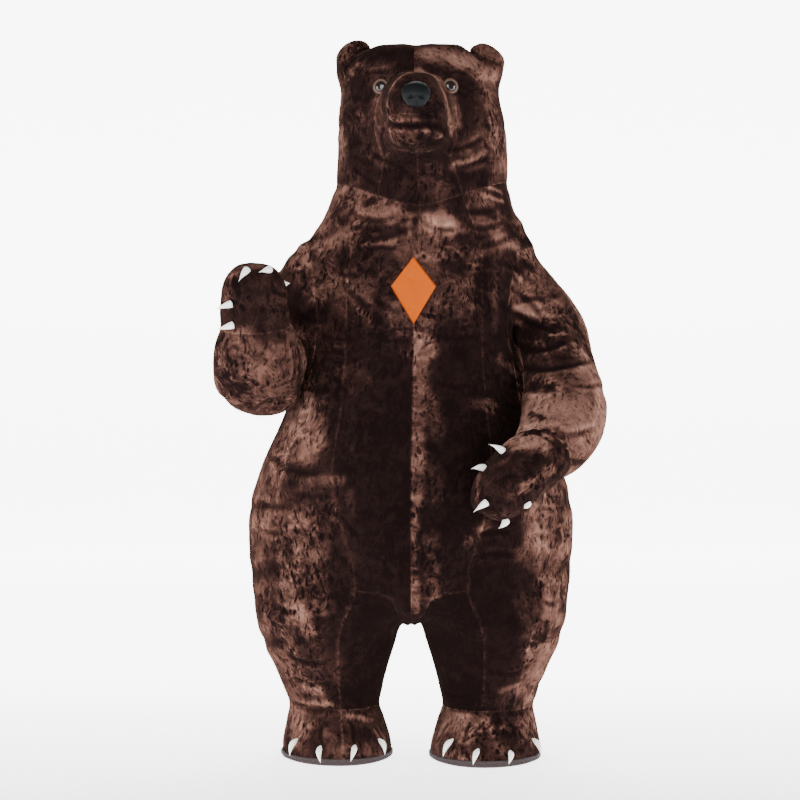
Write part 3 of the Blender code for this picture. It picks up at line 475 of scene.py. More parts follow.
def make_plush(name, tones, bump, crushed=1.0):
    """Crushed plush: its tone follows the brushed nap and the painted light and shade in it, broken up by crushed
    patches, fine streaks and pile grain.
    """
    add, finish = start_finish(name)
    place = add("TexCoord")["Object"]

    def combine(kind, value, *others):
        for other in others:
            value = add("Math", {0: value, 1: other}, kind)["Value"]
        return value

    def speckle(scale, detail, distortion, rough):
        inputs = {"Vector": place, "Scale": scale, "Detail": detail, "Distortion": distortion, "Roughness": rough}
        return add("TexNoise", inputs)["Fac"]

    def marked(kind):
        return spread(add, speckle(*kind[0]), *kind[1])

    def dabs(scale, turn, few):
        """Short curved strokes, scattered: 1 in a stroke and 0 between."""
        drift = add("TexNoise", {"Vector": place, "Scale": DRIFT_SCALE})["Color"]
        swept = add("VectorMath", {0: drift, 1: DRIFT, 2: place}, "MULTIPLY_ADD")["Vector"]
        turned = add("Mapping", {"Vector": swept, "Rotation": turn, "Scale": STROKE_SHAPE})["Vector"]
        cells = add("TexVoronoi", {"Vector": turned, "Scale": scale})
        chosen = spread(add, cells["Color"], few - STROKE_MIX, few + STROKE_MIX, 0, 1)
        return combine("MULTIPLY", spread(add, cells["Distance"], *STROKE_EDGE), chosen)

    def painted(layer):
        node = add("Attribute")["Fac"]
        node.node.attribute_name = layer
        return node

    nap_and_painted_light = painted("nap_and_painted_light")
    room = combine("MULTIPLY", spread(add, nap_and_painted_light, *DARK_HIDES), spread(add, nap_and_painted_light, *LIGHT_HIDES))
    strokes = combine("MULTIPLY", combine("ADD", *[dabs(*kind) for kind in STROKES]), STROKE_DEPTH)
    marks = combine("SUBTRACT", combine("ADD", marked(BLOTCHES), marked(FLECKS), marked(PATCHES)), strokes)
    marks = combine("MULTIPLY", room, marked(CALM), marks, crushed)
    tone = combine("ADD", nap_and_painted_light, marks, marked(GRAIN), combine("MULTIPLY", painted("parting"), marked(PARTING)))
    relief = combine("MULTIPLY", marks, MARK_RELIEF)
    for kind, height in PILE_RELIEF:
        relief = combine("ADD", relief, combine("MULTIPLY", speckle(*kind), height))
    return finish(
        Base_Color=ramp(add, tone, tones), Roughness=spread(add, tone, *DULL), Sheen_Weight=0.028, Sheen_Roughness=0.45,
        Sheen_Tint=(0.62, 0.40, 0.32, 1), Specular_IOR_Level=0.0, Normal=raise_up(add, relief, PLUSH_RELIEF, bump),
    )


BROWN_TONES = (
    (0.00, (24, 18, 18)), (0.18, (34, 25, 24)), (0.34, (50, 35, 32)), (0.52, (73, 52, 46)),
    (0.70, (98, 71, 63)), (0.86, (121, 91, 80)), (1.00, (146, 112, 98)),
)
brown_plush = make_plush("crushed_brown_plush", BROWN_TONES, 0.004)

nap_and_painted_light = np.zeros(skin_size)  # how the pile lies, 0 leans down and reads dark, 1 leans up and reads light, with painted light and shade brushed in as well
skin_sides = np.concatenate([skin.faces[:, [a, (a + 1) % 4]] for a in range(4)])
BLENDED = 14  # how far the tones of neighbouring panels run into each other
UNEVEN = 0.06  # how much a panel's tone wanders
PATCH_RAG = 0.016  # a narrower patch than this is frayed more than it is wide
PATCH_FRAY = 0.34
PATCH_SOFT = 5  # how sharply a patch ends
PATCH_REACH = 2.2  # it is gone at this many half widths
GONE = 700  # nothing is left of a patch here
SHADE_FROM, SHADE_LEAST, SHADE_MOST = 0.25, 0.2, 0.8  # how strongly dark and light nap show a crease's painted shade
TUCKED_SHADE = 0.4  # painted shade in the seams: nap that is turned in is this much of the tone at its edge


def corners_of(panel):
    """The numbers of a panel's points in the skin."""
    return np.unique(skin.faces[skin.panel == CLOTH.index(panel)])


def lay(tones):
    """Gives panels their base tones, which run into each other over the seams between them."""
    total, count = np.zeros(skin_size), np.zeros(skin_size)
    for panel, tone in tones.items():
        numbers = corners_of(panel)
        total[numbers] += tone
        count[numbers] += 1
    laid = count > 0
    nap_and_painted_light[laid] = total[laid] / count[laid]
    a, b = skin_sides[laid[skin_sides].all(1)].T
    weight = np.bincount(a, minlength=skin_size) + np.bincount(b, minlength=skin_size)
    for _ in range(BLENDED):
        drawn = np.bincount(a, nap_and_painted_light[b], skin_size) + np.bincount(b, nap_and_painted_light[a], skin_size)
        nap_and_painted_light[laid] = drawn[laid] / weight[laid]
    nap_and_painted_light[laid] += UNEVEN * ragged[laid]


def brush(view, patches, only=None):
    """Brushes patches of nap and of painted light and shade; each is its tone from 0 dark to 100 light, its half width
    in units and its drawn line.
    """
    numbers = np.arange(skin_size) if only is None else corners_of(only)
    co = skin.co[numbers]
    for tone, half, *drawn in patches:
        line = trace(view, drawn if len(drawn) > 2 else (*drawn, drawn[0] + 1, drawn[1]))
        if not len(line):
            continue
        reach = half * SHEET_UNIT
        near, gap, _ = near_line(co, line, reach * PATCH_REACH)
        rag = PATCH_FRAY * (1 + PATCH_RAG / reach) * ragged[numbers[near]]
        edge = np.minimum((gap / reach - 1 + rag) * PATCH_SOFT, GONE)
        nap_and_painted_light[numbers[near]] += (tone / 100 - nap_and_painted_light[numbers[near]]) / (1 + np.exp(edge))


def paint(mesh, layer, values):
    """Gives every point of a mesh its own value of a layer that the plush reads."""
    mesh.attributes.new(layer, "FLOAT", "POINT").data.foreach_set("value", values.astype(np.float32))


def add_mesh(name, points, faces, materials, replaces, kinds=None):
    """A finished piece that is part of the suit."""
    mesh = bpy.data.meshes.new(name)
    mesh.from_pydata([tuple(point) for point in points], [], [tuple(face) for face in faces])
    mesh.shade_smooth()
    for material in materials:
        mesh.materials.append(material)
    if kinds is not None:
        mesh.polygons.foreach_set("material_index", np.array(kinds, np.int32))
    piece = put_in_scene(name, mesh)
    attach(piece, "root")
    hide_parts(replaces)
    return piece


def cut(panel, flat, area, parting=0.35, rests_on=()):
    """Cuts one panel out of the skin, turns its edges in and paints its tone and seam parting."""
    numbers, faces = np.unique(skin.faces[skin.panel == CLOTH.index(panel)], return_inverse=True)
    faces = faces.reshape(-1, 4)
    co = skin.co[numbers]
    out = skin.out[numbers]
    sides = np.concatenate([faces[:, [a, (a + 1) % 4]] for a in range(4)])
    _, first, count = np.unique(np.sort(sides, axis=1), axis=0, return_index=True, return_counts=True)
    border = sides[first[count == 1]]
    rim = np.unique(border)
    inward = np.zeros_like(co)
    for a in range(4):
        np.add.at(inward, faces[:, a], co[faces].mean(1) - co[faces[:, a]])
    inward = inward[rim] / np.maximum(np.linalg.norm(inward[rim], axis=1), NO_LENGTH)[:, None]
    tucked = co[rim] - out[rim] * TURNED_IN - inward * EDGE_INSET
    co[rim] += inward * SEAM_GAP
    place_in_rim = np.full(len(co), -1)
    place_in_rim[rim] = np.arange(len(rim)) + len(co)
    strip = np.stack([border[:, 1], border[:, 0], place_in_rim[border[:, 0]], place_in_rim[border[:, 1]]], axis=1)

    # the creases' painted shade and the painted light on their lips go into the panel's tone
    shown = np.clip(nap_and_painted_light[numbers] + SHADE_FROM, SHADE_LEAST, SHADE_MOST)
    lying = np.clip(nap_and_painted_light[numbers] + shade[numbers] * shown, 0, 1)
    seam = np.zeros(len(co))
    seam[rim] = parting

    points, faces = np.concatenate([co, tucked]).tolist(), np.concatenate([faces, strip]).tolist()
    piece = add_mesh("cloth_" + panel, points, faces, [brown_plush], panel)
    paint(piece.data, "nap_and_painted_light", np.concatenate([lying, lying[rim] * TUCKED_SHADE]))
    paint(piece.data, "parting", np.concatenate([seam, np.zeros(len(rim))]))
    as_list(rests_on)


# ---- Trunk ----
# Fronts, flanks, sides and backs run from the neck seam down to the ankles, and hang free round the air inside.
# The fronts lie dark, with painted shade where they face ahead, and a light strip brushed up the wearer's left of the
# middle seam; the sides carry painted light.

lay({
    "front_r": 0.06, "front_l": 0.06, "flank_r": 0.26, "flank_l": 0.10, "side_r": 0.46, "side_l": 0.54,
    "back_r": 0.40, "back_l": 0.40, "inner_leg_r": 0.02, "inner_leg_l": 0.02,
})
# The light patches on the shoulders are painted light as well as nap.
brush("front", (
    (58, 12, 338, 190, 326, 222, 312, 246), (52, 8, 508, 190, 514, 214), (40, 32, 340, 276, 392, 286),
    (24, 15, 350, 260, 396, 258), (36, 14, 362, 312, 398, 322), (58, 13, 346, 192, 362, 206, 392, 212),
    (66, 5, 396, 212, 414, 216), (62, 12, 346, 232, 322, 246), (22, 7, 368, 226, 384, 238, 398, 236),
    (52, 3, 362, 246, 396, 243), (60, 4, 409, 224, 410, 238), (16, 4, 352, 212), (16, 3, 366, 204, 374, 201),
    (48, 6, 393, 306, 400, 314), (12, 5, 379, 290, 377, 322), (40, 7, 404, 336, 408, 350), (12, 18, 352, 344, 384, 366),
    (24, 9, 362, 378, 352, 392), (20, 20, 330, 330, 330, 386), (40, 5, 338, 344), (74, 20, 306, 414, 306, 446),
    (62, 12, 290, 424, 284, 456), (9, 10, 340, 396, 338, 462), (20, 6, 290, 468, 320, 474), (44, 5, 302, 482, 340, 481),
    (22, 8, 302, 499, 338, 500), (50, 20, 302, 532, 306, 590), (12, 11, 344, 540, 336, 650),
    (68, 9, 294, 608, 306, 630), (20, 14, 306, 652, 326, 664), (56, 8, 300, 684, 316, 690), (64, 4, 306, 703, 332, 704),
    (12, 6, 330, 690, 340, 700), (30, 4, 350, 494, 352, 514), (32, 8, 274, 486, 268, 560), (34, 7, 270, 570, 276, 650),
    (62, 5, 288, 560, 292, 620), (60, 6, 262, 470, 252, 540),
))
brush("front", (
    (44, 34, 430, 246, 474, 262), (36, 26, 436, 292, 474, 296), (54, 5, 424, 258, 452, 254),
    (82, 13, 430, 219, 446, 223), (14, 5, 462, 240, 486, 239), (48, 18, 482, 204, 498, 230),
    (84, 2.5, 484, 184, 502, 193), (78, 2.5, 482, 194, 503, 201), (16, 5, 474, 210, 492, 214),
    (14, 5, 444, 264, 462, 267), (12, 9, 486, 262, 484, 340), (34, 4, 496, 272, 495, 330), (62, 7, 498, 236, 516, 244),
    (12, 8, 418, 206, 430, 205), (8, 30, 486, 384, 490, 470), (4, 32, 480, 572, 504, 630), (42, 5, 472, 404, 492, 406),
    (36, 6, 470, 540, 486, 524), (70, 14, 532, 510, 538, 548), (44, 8, 520, 554, 536, 562), (30, 8, 524, 600, 530, 640),
    (62, 5, 502, 691, 524, 688), (56, 8, 530, 648, 532, 676), (34, 8, 506, 700, 520, 706), (46, 4, 500, 358, 514, 372),
    (70, 9, 556, 500, 558, 560), (72, 9, 554, 566, 550, 612), (22, 5, 546, 626, 544, 636), (66, 8, 546, 650, 534, 690),
    (24, 7, 434, 470, 438, 500), (62, 7, 546, 500, 550, 612),
))
brush("front", (
    (57, 9, 421, 330, 420, 410), (52, 7, 419, 410, 417, 500), (54, 4, 415, 500, 415, 612), (34, 8, 430, 540, 433, 600),
    (34, 8, 434, 400, 436, 430), (48, 7, 424, 322, 434, 352),
), only="front_l")
SIDE_NAP = (
    (72, 22, 420, 450, 412, 530), (32, 22, 392, 570, 400, 640), (66, 18, 410, 650, 404, 700),
    (26, 20, 400, 390, 392, 430), (62, 20, 386, 212, 420, 236), (60, 16, 440, 560, 436, 610),
    (50, 14, 350, 470, 344, 540),
)
BACK_NAP = (
    (68, 24, 352, 218, 330, 250), (18, 22, 372, 280, 360, 340), (64, 22, 322, 360, 336, 420),
    (16, 22, 380, 430, 368, 500), (66, 26, 300, 500, 318, 560), (12, 16, 330, 610, 364, 612),
    (58, 22, 310, 650, 330, 690), (34, 12, 360, 660, 352, 700),
)
brush("left", SIDE_NAP)
brush("right", mirrored(SIDE_NAP))
brush("back", BACK_NAP)
brush("front", ((26, 3, 394, 628, 384, 690),))
brush("back", mirrored(BACK_NAP))
for side in "lr":
    cut("front_" + side, (0.29, 1.58), 0.352)
    cut("back_" + side, (0.62, 2.15), 0.852)
    cut("inner_leg_" + side, (0.38, 1.15), 0.324, parting=0.5)
cut("flank_r", (0.36, 2.05), 0.419)
cut("flank_l", (0.36, 2.02), 0.410)
cut("side_r", (0.42, 1.75), 0.542)
cut("side_l", (0.42, 1.75), 0.539)


# ---- Arms ----
# Each sleeve is a front and a back cut, sewn along the top and under the arm, set into the armhole.
# One arm is bent up at the elbow and the other across the belly, so the cloth bunches inside both bends.

lay({"sleeve_front_l": 0.50, "sleeve_back_l": 0.64, "sleeve_front_r": 0.52, "sleeve_back_r": 0.45})
# Among these, a painted sheen runs down the outer edge of the lowered arm.
brush("front", (
    (46, 14, 520, 280, 548, 292), (34, 9, 502, 262, 508, 300), (14, 5, 506, 264, 530, 266), (70, 4, 516, 308, 556, 304),
    (76, 4, 516, 313, 560, 317), (20, 2.5, 524, 300, 556, 296), (10, 14, 508, 330, 552, 336),
    (12, 18, 524, 356, 572, 362), (74, 12, 572, 296, 596, 348), (76, 26, 536, 408, 584, 414),
    (84, 14, 520, 428, 548, 440), (12, 5, 584, 362, 592, 370), (70, 2, 552, 322, 572, 322), (70, 2, 550, 335, 572, 332),
    (12, 3, 552, 328, 566, 328), (52, 5, 512, 366, 516, 390), (16, 4, 530, 386, 552, 388), (34, 2, 500, 340, 520, 362),
    (34, 2, 540, 340, 552, 366), (22, 3, 530, 414, 544, 418), (22, 4, 544, 432, 560, 438), (76, 9, 597, 372, 599, 430),
    (48, 7, 560, 464, 582, 462), (12, 6, 512, 222, 530, 250),
))
brush("left", ((72, 20, 400, 300, 380, 340), (26, 16, 360, 320, 340, 360), (70, 16, 330, 360, 300, 372)))
brush("back", ((26, 16, 232, 330, 228, 370), (68, 14, 222, 400, 240, 440)))
brush("front", (
    (47, 18, 252, 362, 284, 366), (22, 7, 264, 334, 284, 338), (26, 3, 298, 350, 300, 390),
    (58, 12, 294, 252, 312, 262), (12, 15, 290, 296, 314, 326), (30, 3, 224, 392, 236, 404),
    (26, 2, 222, 372, 232, 386), (28, 2, 242, 402, 256, 396), (20, 8, 308, 352, 314, 392), (30, 8, 288, 276, 304, 282),
))
brush("right", ((68, 22, 440, 330, 470, 350), (24, 18, 420, 300, 430, 320)))
brush("back", ((66, 18, 560, 330, 566, 380), (24, 16, 530, 300, 540, 330)))
cut("sleeve_front_l", (0.42, 1.05), 0.317)
cut("sleeve_back_l", (0.48, 1.10), 0.413)
cut("sleeve_front_r", (0.40, 0.95), 0.262)
cut("sleeve_back_r", (0.50, 1.10), 0.434)


# ---- Mitts ----
# A palm and a back, sewn to each wrist; the palms lie dark, with a painted highlight round their edges where the pile
# catches the light.

lay({"mitt_front_r": 0.34, "mitt_back_r": 0.22})
lay({"mitt_front_l": 0.17, "mitt_back_l": 0.26})
# Painted highlights along the raised mitt's rims.
brush("front", (
    (56, 6, 226, 298, 226, 284, 236, 270), (50, 3, 240, 267, 260, 266), (26, 3, 262, 300, 274, 316, 268, 330),
    (16, 4, 240, 286, 256, 292), (56, 6, 224, 331, 246, 333),
))
brush("back", ((60, 12, 560, 280, 556, 310),))
brush("front", (
    (84, 11, 510, 440, 544, 442), (56, 4, 478, 476, 477, 498), (40, 3, 494, 466, 506, 460), (34, 4, 508, 498, 530, 486),
    (30, 5, 484, 480, 490, 484), (58, 4, 522, 488, 552, 468),
))
cut("mitt_front_r", (0.24, 0.34), 0.065)
cut("mitt_back_r", (0.26, 0.36), 0.073)
cut("mitt_front_l", (0.30, 0.42), 0.103)
cut("mitt_back_l", (0.28, 0.38), 0.083)


# ---- Feet ----
# Two uppers to a foot, sewn up the middle and to the leg, flaring out over the edge of the sole.

lay({"foot_outer_r": 0.30, "foot_inner_r": 0.30})
lay({"foot_inner_l": 0.46, "foot_outer_l": 0.20})
brush("front", (
    (62, 2.5, 300, 738, 310, 726), (16, 7, 310, 740, 318, 750), (16, 7, 292, 726, 290, 740),
    (48, 3, 322, 732, 334, 738), (48, 6, 330, 748, 338, 752), (62, 2.5, 346, 716, 372, 720),
    (56, 6, 376, 732, 386, 744), (16, 6, 352, 732, 368, 734), (50, 5, 346, 750, 368, 750), (66, 8, 446, 722, 470, 722),
    (62, 5, 440, 730, 436, 744), (30, 6, 456, 744, 470, 750), (64, 4, 486, 720, 492, 734), (12, 4, 498, 716, 502, 744),
    (50, 3, 504, 728, 512, 730), (38, 5, 498, 746, 504, 754), (40, 3, 526, 728, 534, 742),
))
brush("right", ((60, 18, 400, 730, 430, 740),))
brush("left", ((60, 18, 400, 730, 370, 740),))
for side in "lr":
    cut("foot_outer_" + side, (0.30, 0.62), 0.122, parting=0.5, rests_on=["sole_" + side])
    cut("foot_inner_" + side, (0.30, 0.60), 0.113, parting=0.5, rests_on=["sole_" + side])


# ---- Head ----
# Two halves sewn up the middle, a throat below and a muzzle and jaw in front, whose seam is the mouth.
# The wearer's right half lies dark over the brow and the left half light.

lay({
    "head_r": 0.26, "head_l": 0.32, "throat_r": 0.12, "throat_l": 0.24, "muzzle": 0.26, "jaw": 0.22,
    "ear_front_r": 0.56, "ear_front_l": 0.58, "ear_back_r": 0.24, "ear_back_l": 0.34,
})
brush("front", (
    (54, 5, 348, 76, 360, 64), (46, 4, 341, 92, 341, 150), (16, 11, 358, 86, 362, 140), (36, 5, 366, 70, 384, 66),
    (42, 4, 376, 98, 382, 112), (12, 16, 352, 158, 378, 178), (36, 4, 358, 108, 362, 120), (54, 10, 490, 96, 497, 170),
    (10, 13, 466, 92, 464, 126), (10, 10, 428, 160, 452, 150), (64, 4, 454, 168, 470, 161, 486, 151),
    (8, 9, 458, 182, 484, 174), (42, 6, 472, 138, 486, 136), (24, 4, 484, 112, 488, 128), (34, 8, 432, 172, 440, 190),
    (10, 7, 414, 200, 424, 204),
))
brush("back", (
    (58, 24, 430, 90, 440, 150), (20, 20, 420, 150, 430, 190), (60, 24, 370, 90, 360, 150),
    (22, 20, 380, 150, 360, 190),
))
brush("right", ((58, 16, 400, 90, 420, 150),))
brush("left", ((60, 16, 400, 100, 380, 150),))
# Among these, painted highlights over the muzzle's top arch and down its right side wall.
brush("front", (
    (74, 4, 390, 90, 398, 77, 414, 71), (80, 4, 420, 70, 434, 75, 444, 86), (66, 7, 440, 84, 447, 100, 451, 128),
    (50, 6, 447, 86, 455, 104, 457, 124), (34, 7, 384, 84, 378, 104, 377, 124), (48, 4, 386, 100, 390, 112, 400, 120),
    (14, 4, 394, 96, 398, 110), (6, 8, 424, 112, 434, 120), (46, 4, 406, 114, 414, 119), (14, 5, 400, 84, 400, 100),
    (44, 4, 383, 116, 386, 130), (34, 5, 390, 134, 398, 146), (36, 3, 394, 148, 412, 151, 430, 150),
    (8, 8, 424, 140, 440, 146), (30, 5, 402, 136, 412, 144), (42, 3, 424, 132, 431, 134, 439, 136),
))
brush("front", ((8, 12, 372, 52, 412, 54), (8, 8, 404, 66, 412, 68)), only="head_r")
brush("front", (
    (76, 10, 422, 54, 448, 54, 472, 62), (70, 9, 478, 70, 494, 78), (14, 7, 430, 70, 448, 73, 470, 86),
), only="head_l")
# A painted highlight along the rim of the wearer's right ear front.
brush("front", ((56, 3, 342, 54, 352, 46),), only="ear_front_r")
cut("head_r", (0.62, 0.98), 0.444)
cut("head_l", (0.62, 0.98), 0.443)
cut("muzzle", (0.34, 0.46), 0.115)
cut("jaw", (0.26, 0.32), 0.060)
for side in "lr":
    cut("throat_" + side, (0.14, 0.26), 0.028)
    cut("ear_front_" + side, (0.15, 0.18), 0.0205)
    cut("ear_back_" + side, (0.20, 0.24), 0.0300)


# ---- Eyes ----
# Glass-look safety eyes: a dark washer edge, a tan ring and a black domed pupil, pushed through the face.

EYE_RIM = ((27.0, 0.0), (27.2, 2.2), (26.6, 4.6), (25.4, 6.2), (24.2, 6.6))  # radius and height in millimetres
EYE_RING = ((24.2, 6.6), (21.8, 8.2), (19.0, 9.0), (17.2, 8.6), (16.4, 7.6))
EYE_PUPIL = ((16.4, 7.6), (15.8, 9.6), (13.6, 11.6), (10.2, 13.0), (5.6, 13.8), (1.6, 14.0))
EYE_AROUND = 40
EYE_WIDE = 1.14  # eyes as broad as these profiles times this
EYE_RISE = 0.003  # how far they sit above the middle of their solids
EYE_AHEAD = 2.0  # how much an eye looks ahead instead of straight out of the plush under it
GLOSS_STOPS = (0.32, 0.68)  # where the two tones of a moulded finish meet
GLOSS_UNEVEN = 0.06  # how much its roughness varies each way
GLOSS_DETAIL, GLOSS_RELIEF = 5, 0.7


def make_gloss(name, color, second, scale, rough, bump=0.0, coat=0.0, shine=0.5):
    """A smooth moulded or coated finish with two near tones and a fine relief."""
    add, finish = start_finish(name)
    speckle = add("TexNoise", {"Vector": add("TexCoord")["Object"], "Scale": scale, "Detail": GLOSS_DETAIL})["Fac"]
    if bump:
        finish(Normal=raise_up(add, speckle, GLOSS_RELIEF, bump))
    return finish(
        Base_Color=ramp(add, speckle, tuple(zip(GLOSS_STOPS, (color, second)))),
        Roughness=spread(add, speckle, 0, 1, max(rough - GLOSS_UNEVEN, 0), rough + GLOSS_UNEVEN),
        Coat_Weight=coat, Coat_Roughness=0.05, Specular_IOR_Level=shine,
    )


def ring_of(centre, across, up, radius, around):
    """The points of a round ring."""
    turns = [math.tau * step / around for step in range(around)]
    return [centre + (across * math.cos(turn) + up * math.sin(turn)) * radius for turn in turns]


def between_rings(rings, around, start=0, downward=False):
    """The faces between rings that follow each other, upward or downward."""
    faces = []
    for ring in range(rings - 1):
        for step in range(around):
            a, b = start + ring * around + step, start + ring * around + (step + 1) % around
            faces.append((a, a + around, b + around, b) if downward else (a, b, b + around, a + around))
    return faces


eye_edge = make_gloss("eye_edge", (26, 17, 13), (40, 27, 20), 180, 0.6, shine=0.1)
eye_ring = make_gloss("eye_ring", (66, 48, 39), (88, 65, 53), 240, 0.55, coat=0.05, shine=0.3)
eye_pupil = make_gloss("eye_pupil", (15, 9, 6), (32, 20, 13), 60, 0.17, coat=0.3, shine=0.42)
for side in "lr":
    low, high = box_of("eye_" + side)
    place, normal, _, _ = skin_tree.find_nearest((low + high) / 2)
    normal = (normal + EYE_AHEAD * VIEWS["front"]).normalized()
    place += UP * EYE_RISE
    across = UP.cross(normal).normalized()
    up = normal.cross(across)
    points, faces, kinds = [], [], []
    for kind, profile in enumerate((EYE_RIM, EYE_RING, EYE_PUPIL)):
        found = between_rings(len(profile), EYE_AROUND, len(points))
        faces += found
        kinds += [kind] * len(found)
        for radius, height in profile:
            points += ring_of(place + normal * height / 1000, across, up, radius * EYE_WIDE / 1000, EYE_AROUND)
    faces.append(range(len(points) - EYE_AROUND, len(points)))
    kinds.append(kind)
    add_mesh("eye_glass_" + side, points, faces, (eye_edge, eye_ring, eye_pupil), "eye_" + side, kinds)


# ---- Nose ----
# A stuffed pad of blue-black grained vinyl, sewn round its edge over the end of the muzzle, with two pressed nostrils.

NOSTRIL_PLACE = (0.020, -0.012)  # half the distance between the nostrils, and their height from the middle
NOSTRIL_SIZE = (0.011, 0.007)  # half their width and height
NOSTRIL_DEPTH = 0.009
NOSTRIL_SLANT = 0.25
LIP_LINE = (0.0025, 0.02, 0.003)  # half width of the line under the nostrils, how far down it starts, and its depth
NOSE_SHARP = math.radians(50)  # edges that turn more than this stay sharp
NOSE_FACE = -0.1  # only what looks ahead is pressed
NOSE_FINENESS = 3
NOSE_SLIM, NOSE_LOW, NOSE_DROP = 0.93, 0.85, 0.005  # its breadth and height as shares of the solid's, and its droop

solid = bmesh.new()
solid.from_mesh(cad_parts["nose"].data)
bmesh.ops.remove_doubles(solid, verts=solid.verts, dist=SAME_POINT)
crease = solid.edges.layers.float.new("crease_edge")
for edge in solid.edges:
    if len(edge.link_faces) == 2 and edge.calc_face_angle(0) > NOSE_SHARP:
        edge[crease] = 1
mesh = bpy.data.meshes.new("nose")
solid.to_mesh(mesh)
solid.free()
body = put_in_scene("nose", mesh)
body.modifiers.new("smooth", "SUBSURF").levels = NOSE_FINENESS
fine = rounded(body)
points = [vert.co.copy() for vert in fine.vertices]
normals = [vert.normal.copy() for vert in fine.vertices]
faces = [tuple(face.vertices) for face in fine.polygons]
bpy.data.objects.remove(body)

low, high = box_of("nose")
middle = (low + high) / 2
for point, normal in zip(points, normals):
    if normal.y <= NOSE_FACE:
        x, z = point.x - middle.x, point.z - middle.z
        for side in (1, -1):
            off = x - side * NOSTRIL_PLACE[0]
            across, up = off / NOSTRIL_SIZE[0], (z - NOSTRIL_PLACE[1] + side * NOSTRIL_SLANT * off) / NOSTRIL_SIZE[1]
            point -= normal * NOSTRIL_DEPTH * math.exp(-(across * across + up * up))
        groove = math.exp(-((x / LIP_LINE[0]) ** 2)) * min(1, max(0, -z / LIP_LINE[1]))
        point -= normal * LIP_LINE[2] * groove
for point in points:
    point.x = middle.x + (point.x - middle.x) * NOSE_SLIM
    point.z = middle.z - NOSE_DROP + (point.z - middle.z) * NOSE_LOW
nose_vinyl = make_gloss("nose_vinyl", (7, 9, 10), (16, 20, 22), 420, 0.55, bump=0.0008, shine=0.14)
add_mesh("nose_pad", points, faces, (nose_vinyl,), "nose")


# ---- Claws ----
# Eighteen white vinyl cones, stuffed and hand-sewn round their base, five to a mitt and four to a foot.

CLAW_RINGS, CLAW_AROUND = 18, 20
CLAW_SLIM = 0.64  # width of a claw at its fullest, as a share of the foot of the solid it is made over
CLAW_WIDE = {"hand": 1.02, "foot": 1}  # the claws of the mitts are a little broader
CLAW_FULLEST = {"hand": 0.05, "foot": 0.34}  # where it is fullest, as a share of its length
CLAW_ARCH = {"hand": 0.06, "foot": 0.16}  # how far it arches off the plush, as a share of its length
CLAW_SUNK = {"hand": 0.16, "foot": 0.28}  # share of its length behind its sewn foot and in the plush
CLAW_POINT = {"hand": 1.7, "foot": 1.2}  # how soon it narrows towards its tip
CLAW_BLUNT = 0.75  # how soon it widens from its back end
CLAW_DEEP = {"hand": 0.010, "foot": 0.004}  # how far below the face of the plush its back end lies
CLAW_LAID = 0.6  # how far it is laid down on the plush
claw_vinyl = make_gloss("claw_vinyl", (228, 226, 218), (250, 249, 244), 90, 0.45, bump=0.0006)

for node in sorted(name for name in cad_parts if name.startswith("claw_")):
    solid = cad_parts[node].data
    areas = {}
    for face in solid.polygons:
        areas.setdefault(tuple(round(part, 2) for part in face.normal), []).append(face)
    base = max(areas.values(), key=lambda found: sum(face.area for face in found))
    normal = -base[0].normal
    round_foot = [solid.vertices[index].co for index in {index for face in base for index in face.vertices}]
    foot = sum(round_foot, Vector()) / len(round_foot)
    tip = foot + max((vert.co - foot for vert in solid.vertices), key=lambda way: way.length)
    along = (tip - foot).normalized()
    lying = (along - normal * along.dot(normal) * CLAW_LAID).normalized()
    limb = node.split("_")[1]
    radius = CLAW_SLIM * max((corner - foot).length for corner in round_foot) * CLAW_WIDE[limb]
    start = tip - lying * (tip - foot).length * (1 + CLAW_SUNK[limb])
    start -= normal * min(CLAW_DEEP[limb], max(0, (start - foot).dot(normal) + CLAW_DEEP[limb] / 2))
    reach = tip - start
    side = reach.cross(normal).normalized()
    away = side.cross(reach).normalized()
    points = []
    for ring in range(1, CLAW_RINGS):
        share, fullest = ring / CLAW_RINGS, CLAW_FULLEST[limb]
        full, power = (1 - share) / (1 - fullest), CLAW_POINT[limb]
        if share < fullest:
            full, power = share / fullest, CLAW_BLUNT
        centre = start + reach * share + away * reach.length * CLAW_ARCH[limb] * math.sin(share * math.pi)
        points += ring_of(centre, side, away, radius * math.sin(full * math.pi / 2) ** power, CLAW_AROUND)
    points += [start, tip]
    faces = between_rings(CLAW_RINGS - 1, CLAW_AROUND, downward=True)
    last = (CLAW_RINGS - 2) * CLAW_AROUND
    for step in range(CLAW_AROUND):
        after = (step + 1) % CLAW_AROUND
        faces += [(step, after, len(points) - 2), (last + after, last + step, len(points) - 1)]
    add_mesh("stuffed_" + node, points, faces, (claw_vinyl,), node)


# ---- Soles ----
# Grey ribbed foam rubber glued under each foot, a rounded edge showing all round with a moulded line along it.

